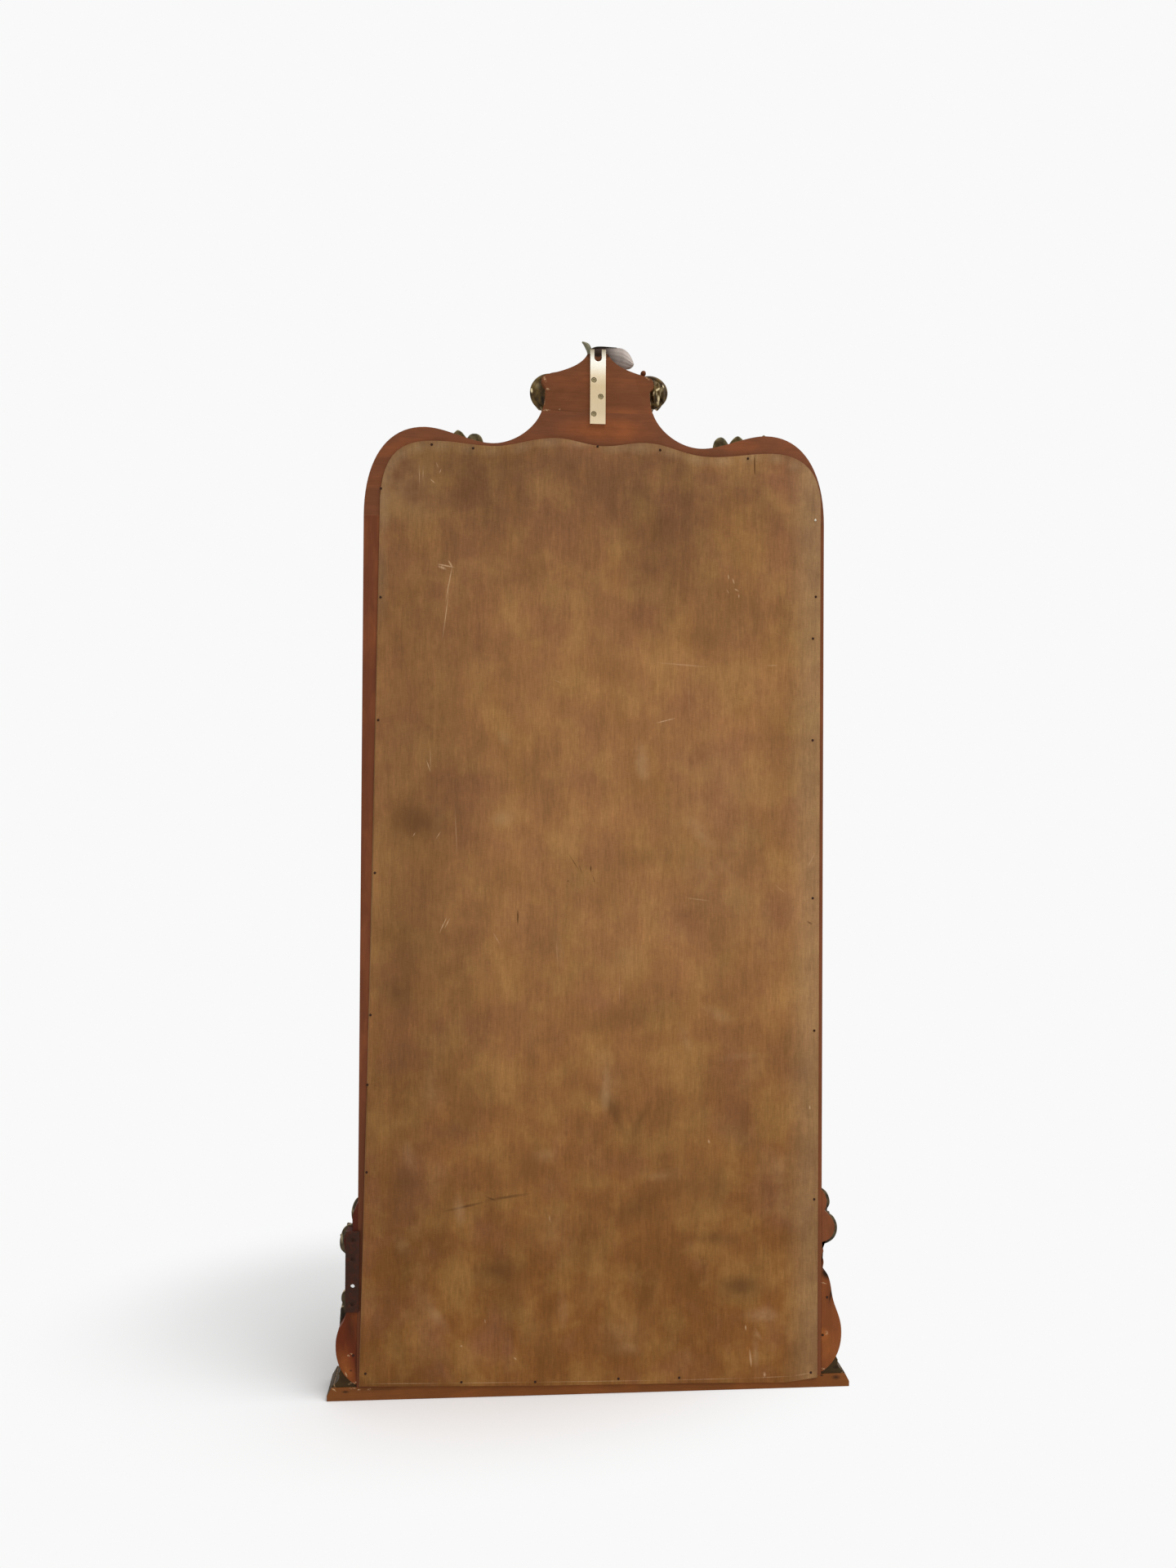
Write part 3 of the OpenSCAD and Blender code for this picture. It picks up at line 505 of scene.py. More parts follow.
def coated(tree, colour, *coats):
    """Lays coats over a colour, each given as a pattern, its low and high, the most and a tone."""
    for pattern, low, high, most, tone in coats:
        mask = add(tree, "MapRange", {"Value": pattern, "From Min": low, "From Max": high,
                                      "To Max": most})
        colour = add(tree, "Mix", {FACTOR: mask, A: colour, B: tone}, out=RESULT, data_type="RGBA")
    return colour


def surfaced(made, colour, rough, relief=(), sockets=()):
    """Ends a material with its shader.

    rough is a pattern with the roughness at its low and its high, relief is a pattern with the
    strength and the height in millimetres of its bumps, and sockets are the shader's other values.
    """
    tree = made.node_tree
    pattern, low, high = rough
    links = {"Base Color": colour, **dict(sockets)}
    links["Roughness"] = add(tree, "MapRange", {"Value": pattern, "To Min": low, "To Max": high})
    if relief:
        height, strength, rise = relief
        links["Normal"] = add(tree, "Bump", {"Height": height, "Strength": strength,
                                             "Distance": rise * MM})
    add(tree, "OutputMaterial", {"Surface": add(tree, "BsdfPrincipled", links)})
    return made


def stained_softwood(name, tone, streak, along="Z", chips=(), darkening=(), warm=()):
    """Planed pine under a thin red-brown spirit stain: satin, with faint rings and fine fibres."""
    made, tree, where = new_material(name)
    squeeze = (0.05, 1, 1) if along == "X" else (1, 1, 0.05)
    grain = add(tree, "Mapping", {"Vector": where, "Scale": squeeze})
    # Growth rings stand about 8 mm apart, and the fibres are drawn 1.2 mm wide so that they show.
    rings = add(tree, "TexNoise", {"Vector": grain, "Scale": 125, "Detail": 3, "Distortion": 0.8})
    fibres = add(tree, "TexNoise", {"Vector": grain, "Scale": 820, "Detail": 3, "Roughness": 0.6})
    # The stain took unevenly in long clouds 26 mm wide, and wore in patches of 33 mm.
    soft = add(tree, "Mapping", {"Vector": where, "Scale": [s ** 0.4 for s in squeeze]})
    cloud = add(tree, "TexNoise", {"Vector": soft, "Scale": 38, "Detail": 5, "Distortion": 0.4})
    worn = add(tree, "TexNoise", {"Vector": where, "Scale": 30, "Detail": 6, "Roughness": 0.65})
    glow = add(tree, "MapRange", {"Value": cloud, "From Min": 0.5, "From Max": 0.72, "To Max": 0.6})
    if warm:
        rubbed = marks(tree, where, warm, (worn, 0.35, 0.6, 0.6, 1))
        glow = add(tree, "Math", {0: glow, 1: rubbed}, operation="MAXIMUM")
    colour = coated(tree, tone, (glow, *WHOLE, streak))
    colour = shaded(tree, colour, (rings, 0.07), (fibres, 0.07), (worn, 0.06))
    # The dark marks are grime, and around the slot of the hanging plate they are painted shade.
    if darkening:
        dark = marks(tree, where, darkening)
        colour = coated(tree, colour, (dark, *WHOLE, linear("#2b1d14")))
    if chips:
        flecks = add(tree, "TexNoise", {"Vector": where, "Scale": 640, "Detail": 3})
        bare = marks(tree, where, chips, (flecks, 0.47, 0.58, 0, 1))
        colour = coated(tree, colour, (bare, *WHOLE, linear("#c09a74")))
    relief = add(tree, "Math", {0: rings, 1: 0.35, 2: fibres}, operation="MULTIPLY_ADD")
    return surfaced(made, colour, (worn, 0.42, 0.62), (relief, 0.3, 0.3),
                    {"IOR": 1.5, "Specular IOR Level": 0.05})


# Strokes on the backboard, from the photograph: x, z, tilt, half length, half width, strength.
SCRATCHES = (
    (235, 1284, 100, 33, 1.2, 1.7), (240, 1232, 97, 44, 1.0, 1.2), (240, 1312, 10, 15, 1.4, 2.4),
    (233, 1315, 60, 7, 1.6, 2.4), (246, 1309, 20, 8, 2.6, 1.4), (-213, 1303, 80, 5, 1.4, 1.3),
    (-221, 1296, 70, 6, 1.6, 1.4), (-226, 1282, 30, 5, 1.4, 1.3), (-212, 1279, 60, 4, 1.2, 1.2),
    (-230, 1272, 90, 4, 1.4, 1.2), (-139, 1160, 4, 46, 1.6, 0.7), (-286, 1161, 0, 12, 1.4, 0.6),
    (-112, 1070, -15, 19, 1.1, 1.7), (240, 744, 115, 16, 1.1, 1.6), (234, 746, 117, 11, 1.0, 1.3),
    (221, 890, 87, 42, 1.0, 0.6), (265, 994, 71, 13, 1.0, 1.2), (-165, 784, 7, 23, 1.2, 0.7),
    (156, 722, 60, 14, 1.2, 0.7), (-185, 397, 71, 4, 2.2, 1.1), (-277, 24, 80, 5, 3, 1.2),
    (-300, 800, 40, 14, 1.0, 0.6), (60, 1130, 20, 10, 0.9, 0.5), (122, 60, 40, 4, 1.4, 1.1),
    (170, 120, 80, 4, 1.1, 1.0), (-349, 449, 84, 4, 1.6, 1.6), (262, 1005, 88, 22, 0.9, 0.7),
    (287, 886, 124, 5, 1.0, 1.0), (249, 885, 122, 8, 1.0, 1.0), (-350, 847, 117, 14, 1.0, 1.2),
    (207, 82, 0, 2, 1.6, 2.0), (-246, 99, 85, 5, 1.4, 1.6), (-254, 51, 84, 16, 2.4, 1.2),
    (69, 279, 82, 6, 1.2, 1.1), (293, 25.8, 1.3, 69, 0.9, 0.7), (166, 23.4, 0.9, 71, 0.9, 0.7),
    (-8, 20.8, 0.8, 121, 0.9, 0.7), (-183, 19.1, 0.2, 72, 0.9, 0.7),
    (-286, 19.4, 179.1, 41, 0.9, 0.7), (-341, 22.8, 171.3, 20, 0.9, 0.7),
    (283, 1456, 88, 18, 0.9, 1.1), (277, 1458, 92, 14, 0.9, 0.9), (262, 1446, 40, 6, 1.1, 1.5),
    (250, 1462, 110, 5, 1.0, 1.2), (255, 1472, 70, 6, 1.0, 1.0), (-150, 1100, 88, 30, 0.9, 0.4),
    (60, 700, 88, 26, 0.9, 0.4), (-40, 640, 90, 30, 0.9, 0.4),
)
SCUFFS = (
    (-75, 1008, 88, 44, 16, 0.7), (-146, 563, 70, 30, 12, 0.5), (-226, 531, -8, 44, 9, 0.5),
    (254, 480, 86, 46, 24, 0.4), (100, 560, 84, 40, 22, 0.35), (-20, 500, 86, 60, 26, 0.45),
    (-281, 118, 5, 26, 13, 0.6), (-262, 60, 88, 46, 7, 0.8), (-266, 88, 60, 14, 5, 0.9),
    (-40, 92, 0, 60, 34, 0.4), (60, 250, 90, 60, 40, 0.3), (250, 900, 90, 50, 14, 0.3),
    (-180, 830, 10, 60, 30, 0.35), (-40, 700, 88, 60, 40, 0.25), (310, 1430, 0, 90, 60, 0.5),
    (-200, 880, 88, 260, 120, 0.25), (212, 296, 82, 32, 11, 0.8), (-19, 481, 92, 45, 10, 0.9),
    (48, 136, 86, 36, 11, 0.9), (-48, 69, 8, 37, 15, 0.8), (-269, 120, 175, 37, 15, 0.8),
    (289, 377, 76, 33, 12, 0.7), (243, 124, 55, 35, 11, 0.7), (-116, 344, 170, 33, 13, 0.7),
    (76, 378, 173, 29, 14, 0.5), (-75, 999, 76, 51, 14, 0.8), (-171, 889, 49, 38, 16, 0.7),
    (148, 912, 170, 25, 16, 0.6), (145, 1038, 53, 20, 12, 0.6), (58, 702, 77, 37, 12, 0.6),
    (-197, 599, 27, 37, 14, 0.5), (-300, 330, 84, 60, 16, 0.5), (300, 240, 60, 30, 16, 0.5),
)
STAINS = (
    (122.6, 756, 90, 15, 1.5, 1.6), (204, 300, 168, 38, 2.8, 1.0), (136, 314, 172, 42, 3.2, 0.8),
    (162, 312, 23, 11, 2, 0.8), (-37, 435, 63, 44, 11, 0.45), (-76, 435, 117, 43, 11, 0.45),
    (34, 843, 57, 18, 1.0, 0.9), (23, 831, 70, 10, 1.0, 0.7), (7, 833, 90, 7, 1.7, 1.3),
    (2, 816, 72, 9, 1.0, 0.9), (43, 813, 0, 2, 2.0, 0.9), (-348, 746, 30, 6, 2.0, 0.9),
    (155, 198, 173, 53, 26, 0.5), (-67, 291, 147, 58, 24, 0.42), (-200, 325, 87, 45, 18, 0.42),
    (-198, 243, 6, 50, 15, 0.42), (-236, 170, 175, 37, 20, 0.42), (-25, 461, 39, 53, 17, 0.42),
    (221, 420, 165, 45, 22, 0.36), (296, 341, 174, 34, 26, 0.36), (273, 904, 4, 52, 32, 0.36),
    (311, 635, 30, 34, 32, 0.36), (-80, 852, 170, 52, 24, 0.3), (-41, 596, 168, 92, 28, 0.3),
    (-240, 159, 0, 66, 28, 0.45), (306, 640, 88, 90, 44, 0.2), (300, 1180, 86, 70, 36, 0.15),
    (-150, 330, 60, 80, 50, 0.3), (90, 380, 80, 70, 36, 0.3), (-100, 1290, 88, 120, 70, 0.18),
    (130, 180, 80, 70, 30, 0.25), (300, 900, 88, 70, 40, 0.2), (-230, 420, 60, 60, 40, 0.3),
    (262, 800, 90, 420, 120, 0.28),
    # The short crack at the top of the board.
    (-254.7, 1485.5, 90, 18, 1.1, 3.0), (-254.9, 1480, 88, 12, 0.9, 2.0),
)
# The paler border along the top of the board, where the wash was rubbed.
RUBBED_EDGE = (
    (342, 1290, 90, 90, 14, 0.23), (340, 1386, 90, 30, 15, 0.31), (340, 1418, 90, 24, 15, 0.34),
    (338, 1447, 98, 20, 15, 0.34), (330, 1470, 120, 20, 15, 0.34), (312, 1488, 146, 22, 15, 0.33),
    (285, 1499, 165, 22, 14, 0.31), (250, 1503, 178, 26, 14, 0.30), (209, 1500, 8, 24, 13, 0.25),
    (170, 1497, 178, 26, 13, 0.25), (122, 1504, 164, 28, 13, 0.28), (78, 1513, 176, 28, 13, 0.28),
    (30, 1514, 2, 30, 13, 0.28), (-27, 1507, 176, 30, 13, 0.30), (-70, 1508, 178, 34, 14, 0.33),
    (-118, 1503, 14, 30, 14, 0.33), (-160, 1492, 10, 28, 14, 0.31), (-200, 1491, 176, 28, 14, 0.31),
    (-250, 1497, 174, 26, 13, 0.28), (-290, 1497, 8, 20, 13, 0.28), (-322, 1485, 32, 18, 17, 0.33),
    (-340, 1466, 55, 18, 17, 0.25),
)


def stained_board(name, top, middle, foot):
    """A fibre board brushed with a thin brown wash: dull and cloudy, finely woven and scuffed."""
    made, tree, where = new_material(name)
    parts = add(tree, "SeparateXYZ", {"Vector": where}).node.outputs
    level = add(tree, "MapRange", {"Value": parts["Z"], "From Max": 1.52})
    base = add(tree, "ValToRGB", {"Fac": level},
               ramp=((0, foot), (0.94, top), (0.12, foot), (0.33, mix_colour(foot, middle, 0.5)),
                     (0.5, middle), (0.77, middle), (0.86, mix_colour(middle, top, 0.5))))
    # The wash dried in clouds of 110 mm, tints of 75 mm and patches of 60 mm, and the brush left
    # streaks 12 mm wide. The fibres of the board are drawn 1.1 mm wide so that they show.
    tall = add(tree, "Mapping", {"Vector": where, "Scale": (1, 1, 0.7)})
    clouds = add(tree, "TexNoise", {"Vector": tall, "Scale": 9, "Detail": 6, "Roughness": 0.6})
    tints = add(tree, "TexNoise", {"Vector": tall, "Scale": 13, "Detail": 5, "Distortion": 0.3})
    patches = add(tree, "TexNoise", {"Vector": where, "Scale": 17, "Detail": 6, "Roughness": 0.6,
                                     "Distortion": 0.1})
    brush = add(tree, "Mapping", {"Vector": where, "Scale": (1, 1, 0.15)})
    streaks = add(tree, "TexNoise", {"Vector": brush, "Scale": 85, "Detail": 4})
    upright = add(tree, "Mapping", {"Vector": where, "Scale": (1, 1, 0.09)})
    warp = add(tree, "TexNoise", {"Vector": upright, "Scale": 900, "Detail": 2})
    threads = add(tree, "TexNoise", {"Vector": upright, "Scale": 300, "Detail": 2})
    flat = add(tree, "Mapping", {"Vector": where, "Scale": (0.14, 1, 1)})
    weft = add(tree, "TexNoise", {"Vector": flat, "Scale": 900, "Detail": 2})
    # The wash is rubbed pale along the top and towards the left edge, and the left half is lighter,
    # partly in the wash's own tone and partly as painted light and shade across the board.
    border = add(tree, "MapRange", {"Value": parts["X"], "From Min": -0.3, "From Max": -0.352,
                                    "To Max": 0.3}, interpolation_type="SMOOTHSTEP")
    border = add(tree, "Math", {0: marks(tree, where, RUBBED_EDGE), 1: border}, operation="MAXIMUM")
    sides = add(tree, "MapRange", {"Value": parts["X"], "From Min": 0.31, "From Max": 0.1,
                                   "To Min": 0.3, "To Max": 0.55}, interpolation_type="SMOOTHSTEP")
    colour = coated(tree, base, (tints, 0.52, 0.7, 0.5, linear("#8a5b3f")),
                    (tints, 0.48, 0.3, 0.5, linear("#93683a")),
                    (patches, 0.46, 0.64, 0.24, linear("#9a7a44")),
                    (border, *WHOLE, linear("#a98e69")))
    colour = shaded(tree, colour, (sides, 0.13), (clouds, 0.14), (patches, 0.12), (streaks, 0.07),
                    (threads, 0.08), (warp, 0.1), (weft, 0.07))
    dusty = marks(tree, where, SCUFFS, (patches, 0.4, 0.62, 0.15, 0.6))
    bare = marks(tree, where, SCRATCHES, (warp, 0.35, 0.6, 0.3, 0.75))
    colour = coated(tree, colour, (marks(tree, where, STAINS), *WHOLE, linear("#5a3a20")),
                    (dusty, *WHOLE, linear("#b08a62")), (bare, *WHOLE, linear("#cfa982")))
    relief = add(tree, "Math", {0: weft, 1: 0.7, 2: warp}, operation="MULTIPLY_ADD")
    return surfaced(made, colour, (clouds, 0.5, 0.72), (relief, 0.25, 0.2),
                    {"IOR": 1.45, "Specular IOR Level": 0.06})


def water_gilding(context, name, wear=0.5, back=None):
    """Gold leaf burnished over red clay and toned down: bright on the swells, dark in the hollows.

    Where back is given, the side that faces the wall is glazed between its two browns, kept dark
    partly as painted shade, with painted highlights and painted shade in the hollows at the places
    that its two tables give.
    """
    made, tree, where = new_material(name)
    colours = context.scene.mirror_gilding
    gold, clay, toner = (tuple(tone) for tone in (colours.gold, colours.bole, colours.toner))
    geometry = add(tree, "NewGeometry").node.outputs
    # Leaf is rubbed through to the clay on the raised edges, in flecks of up to 4 mm.
    fine = add(tree, "TexNoise", {"Vector": where, "Scale": 260, "Detail": 5, "Roughness": 0.65})
    broad = add(tree, "TexNoise", {"Vector": where, "Scale": 38, "Detail": 4})
    ridge = add(tree, "MapRange", {"Value": geometry["Pointiness"], "From Min": 0.515,
                                   "From Max": 0.6, "To Max": 0.5})
    rub = add(tree, "Math", {0: fine, 1: ridge}, operation="ADD")
    rubbed = add(tree, "MapRange", {"Value": rub, "From Min": 0.86 - 0.25 * wear,
                                    "From Max": 1.0 - 0.2 * wear})
    hollow = add(tree, "MapRange", {"Value": geometry["Pointiness"], "From Min": 0.5,
                                    "From Max": 0.44, "To Max": 0.9})
    darkening = add(tree, "Math", {0: fine, 1: 0.6, 2: hollow}, operation="MULTIPLY_ADD")
    toned = add(tree, "MapRange", {"Value": darkening, "From Min": 0.42, "From Max": 1.05})
    colour = coated(tree, gold, (broad, 0.35, 0.65, 1, mix_colour(gold, toner, 0.4)),
                    (rubbed, *WHOLE, clay), (toned, *WHOLE, toner))
    worn = add(tree, "Math", {0: rubbed, 1: toned}, operation="MAXIMUM")
    if back:
        # What faces the wall or lies less than 26 mm deep is glazed, and this fades out by 36 mm.
        # The glaze is the back's own brown paint, and its darkness is also painted shade.
        deep, pale, lights, painted_shading = back
        depth = add(tree, "SeparateXYZ", {"Vector": where}, out="Y")
        turned = add(tree, "SeparateXYZ", {"Vector": geometry["Normal"]}, out="Y")
        behind = add(tree, "MapRange", {"Value": depth, "From Min": BACK_Y - 36 * MM,
                                        "From Max": BACK_Y - 26 * MM})
        facing = add(tree, "MapRange", {"Value": turned, "From Min": -0.1, "From Max": 0.25})
        behind = add(tree, "Math", {0: behind, 1: facing}, operation="MAXIMUM")
        # The brown glaze pooled in soft patches about 10 mm across.
        pools = add(tree, "TexNoise", {"Vector": where, "Scale": 95, "Detail": 3})
        glaze = coated(tree, linear(deep), (pools, 0.38, 0.62, 1, linear(pale)))
        # The first table paints shade in the hollows and the second paints highlights, at the given
        # places.
        for table, tone in ((painted_shading, "#21160b"), (lights, "#f0deb0")):
            if table:
                glaze = coated(tree, glaze, (marks(tree, where, table), *WHOLE, linear(tone)))
        colour = coated(tree, colour, (behind, *WHOLE, glaze))
        worn = add(tree, "Math", {0: worn, 1: behind}, operation="MAXIMUM")
    metal = add(tree, "MapRange", {"Value": worn, "To Min": 1.0, "To Max": 0.2})
    return surfaced(made, colour, (worn, 0.26, 0.48), (fine, 0.25, 0.25),
                    {"Metallic": metal, "Specular IOR Level": 0.2})


def silvered_leaf(name, pale, toner):
    """Tarnished silver leaf on gesso: a soft grey with a lilac cast, and dark brown at its root as
    painted shade.
    """
    made, tree, where = new_material(name)
    across = add(tree, "SeparateXYZ", {"Vector": where}, out="X")
    # The leaf is pale at its end, 62 mm to the left, dark at its root as painted shade, and olive
    # on its upright tip.
    along = add(tree, "MapRange", {"Value": across, "From Min": -0.062, "From Max": 0.024})
    base = add(tree, "ValToRGB", {"Fac": along},
               ramp=((0, pale), (1, linear("#8f8b77")), (0.3, mix_colour(pale, toner, 0.32)),
                     (0.45, mix_colour(pale, toner, 0.7)), (0.55, toner), (0.78, toner),
                     (0.86, linear("#757058"))))
    # Dirt clouds it in patches of 17 mm, and the leaf is creased every 3 mm.
    cloud = add(tree, "TexNoise", {"Vector": where, "Scale": 60, "Detail": 3})
    fine = add(tree, "TexNoise", {"Vector": where, "Scale": 300, "Detail": 4})
    colour = shaded(tree, base, (cloud, 0.12), (fine, 0.05))
    return surfaced(made, colour, (fine, 0.4, 0.6), (fine, 0.2, 0.2),
                    {"Metallic": 0.25, "Specular IOR Level": 0.2})


def plated_steel(name, colour=None, levels=()):
    """Nickel plated strip steel, brushed along its length: pale and warm, and dull where dirty.

    The levels are heights in millimetres with their colours, which paint reflection and shade down
    a plate. The lowest and the highest come first.
    """
    made, tree, where = new_material(name)
    long = add(tree, "Mapping", {"Vector": where, "Scale": (1, 1, 0.03)})
    # Brush lines are 0.1 mm apart in life, and drawn 0.5 mm apart so that they show.
    lines = add(tree, "TexNoise", {"Vector": long, "Scale": 2000, "Detail": 2})
    stain = add(tree, "TexNoise", {"Vector": where, "Scale": 90, "Detail": 5, "Roughness": 0.7})
    if levels:
        low, high = levels[0][0], levels[1][0]
        height = add(tree, "SeparateXYZ", {"Vector": where}, out="Z")
        level = add(tree, "MapRange", {"Value": height, "From Min": low * MM,
                                       "From Max": high * MM})
        colour = add(tree, "ValToRGB", {"Fac": level},
                     ramp=[((z - low) / (high - low), shade) for z, shade in levels])
    colour = coated(tree, colour, (stain, 0.5, 0.8, 0.12 if levels else 0.35, linear("#9c8c6a")))
    colour = shaded(tree, colour, (lines, 0.04))
    return surfaced(made, colour, (stain, 0.28, 0.5), (lines, 0.15, 0.1), {"Metallic": 1.0})


def rusted_iron(name, colour, rust):
    """Old strip iron under brown rust: dark, dry and pitted, with a dull shine where rubbed."""
    made, tree, where = new_material(name)
    # The pits are 1.7 mm across, and the rust blooms in patches of 8 mm.
    pits = add(tree, "TexNoise", {"Vector": where, "Scale": 600, "Detail": 5, "Roughness": 0.7})
    bloom = add(tree, "TexNoise", {"Vector": where, "Scale": 120, "Detail": 5})
    brown = add(tree, "MapRange", {"Value": bloom, "From Min": 0.45, "From Max": 0.65})
    colour = coated(tree, colour, (brown, *WHOLE, rust))
    metal = add(tree, "MapRange", {"Value": brown, "To Min": 0.12, "To Max": 0.0})
    return surfaced(made, colour, (brown, 0.5, 0.75), (pits, 0.5, 0.2),
                    {"Metallic": metal, "Specular IOR Level": 0.08})


def silvered_glass(name):
    """Old mirror plate, silvered behind: clear, faintly grey, with foxed spots near its edges."""
    made, tree, where = new_material(name)
    parts = add(tree, "SeparateXYZ", {"Vector": where}).node.outputs
    sides = add(tree, "Math", {0: parts["X"]}, operation="ABSOLUTE")
    near = add(tree, "MapRange", {"Value": sides, "From Min": 0.22, "From Max": 0.31})
    low = add(tree, "MapRange", {"Value": parts["Z"], "From Min": 0.22, "From Max": 0.1})
    edge = add(tree, "Math", {0: near, 1: low}, operation="MAXIMUM")
    # Foxing comes as spots 2 to 6 mm across.
    spots = add(tree, "TexNoise", {"Vector": where, "Scale": 170, "Detail": 6, "Roughness": 0.6})
    fox = add(tree, "Math", {0: edge, 1: 0.2, 2: spots}, operation="MULTIPLY_ADD")
    fox = add(tree, "MapRange", {"Value": fox, "From Min": 0.74, "From Max": 0.8})
    colour = coated(tree, linear("#d3dad8"), (fox, *WHOLE, linear("#4a4038")))
    return surfaced(made, colour, (fox, 0.02, 0.4), sockets={"Metallic": 1.0})


# Settings


def colour_setting(name, description, hex_colour):
    """A colour that the user can change."""
    return FloatVectorProperty(name=name, description=description, default=linear(hex_colour),
                               size=4, min=0, max=1, subtype="COLOR")


class CarcassSettings(bpy.types.PropertyGroup):
    """Sizes and colours of the wooden back."""

    edge: FloatProperty(name="Edge", description="Rounding of the edges of the boards",
                        default=0.7 * MM, min=0.1 * MM, max=3 * MM, unit="LENGTH")
    stain: colour_setting("Stain", "Colour of the bottom rail", "#77472c")
    streak: colour_setting("Streak", "Colour of the warmer grain", "#8f5230")
    board_top: colour_setting("Board, top", "Backboard near its top", "#805839")
    board_middle: colour_setting("Board, middle", "Backboard half way up", "#996b42")
    board_foot: colour_setting("Board, foot", "Backboard near its foot", "#7f5229")


class GildingSettings(bpy.types.PropertyGroup):
    """Colours of the gilding and fineness of the carving."""

    gold: colour_setting("Gold", "Colour of the gold leaf", "#c39a4e")
    bole: colour_setting("Clay", "Colour of the clay under the leaf", "#6f3420")
    toner: colour_setting("Toner", "Colour of the dirt and toner in the hollows", "#43321c")
    silver: colour_setting("Silver", "Colour of the leaf on top of the crest", "#b3a79e")
    grain: FloatProperty(name="Grain", description="Size of the small faces of the carving",
                         default=0.9 * MM, min=0.5 * MM, max=4 * MM, unit="LENGTH")


class HardwareSettings(bpy.types.PropertyGroup):
    """Colours and sizes of the plates, screws and nails."""

    nickel: colour_setting("Nickel", "Colour of the slotted plate at its middle", "#d6c19b")
    iron: colour_setting("Iron", "Colour of the bare iron", "#38241c")
    rust: colour_setting("Rust", "Colour of the rust", "#45261b")
    screw_sink: FloatProperty(name="Screw sink", description="Depth of the screws in the plates",
                              default=0.7 * MM, min=0, max=1.5 * MM, unit="LENGTH")


class StageSettings(bpy.types.PropertyGroup):
    """Camera and light of the photograph."""

    lens: FloatProperty(name="Lens", description="Focal length of the camera in millimetres",
                        default=30, min=10, max=200)
    ambient: FloatProperty(name="Ambient", description="Brightness of the room", default=0.55,
                           min=0, max=2, subtype="FACTOR")
    light: FloatProperty(name="Light", description="Strength of the wide soft light", default=1.75,
                         min=0, max=10)
    softness: FloatProperty(name="Softness", description="Angle that the soft light fills",
                            default=math.radians(46), min=0, max=math.pi, subtype="ANGLE")
    backdrop: FloatProperty(name="Backdrop", description="Brightness of the background",
                            default=0.947, min=0, max=1, subtype="FACTOR")


# Tables


# How the carving is glazed behind: a deep brown, a pale brown, painted highlights, and painted
# shade in its hollows.
VOLUTE_BACK = (
    "#3a2913", "#69532a",
    ((105.4, 1602.4, 82, 5, 2.2, 1.8), (97, 1611, 60, 9, 6, 0.16), (89, 1572, 60, 6, 1.4, 0.5),
     (-98.4, 1607.2, 143, 5, 2.2, 1.6), (-99.8, 1591, 88, 8, 2.8, 1.8),
     (-91.5, 1600, 100, 5, 1.4, 1.1), (-86.8, 1586.6, 70, 5, 1.6, 1.1),
     (-107.7, 1613.9, 70, 4, 1.4, 1.1), (-97, 1600, 80, 5, 1.3, 0.7),
     (-105, 1608, 100, 6, 3, 0.3), (-103, 1601, 84, 6, 1.3, 0.4)),
    ((88, 1588, 76, 11, 4.5, 1.3), (95, 1583, 60, 12, 6, 0.35), (107, 1590, 70, 10, 3, 0.7),
     (103, 1618, 130, 14, 2.4, 0.5), (-107, 1592, 80, 11, 5, 0.8), (-94.5, 1594, 90, 9, 1.8, 0.9),
     (-112, 1603, 84, 14, 3, 0.6), (-96, 1581, 20, 5, 2.4, 1.0), (-88, 1592, 90, 6, 1.4, 0.7)))
EDGE_BACK = ("#2b2115", "#584b32",
             ((398, 247, 84, 13, 2.6, 0.5), (382, 290, 70, 9, 3, 0.4), (388, 268, 20, 9, 3, 0.25)),
             ((-388, 164, 60, 12, 6, 0.7), (402, 236, 80, 9, 3, 0.5)))

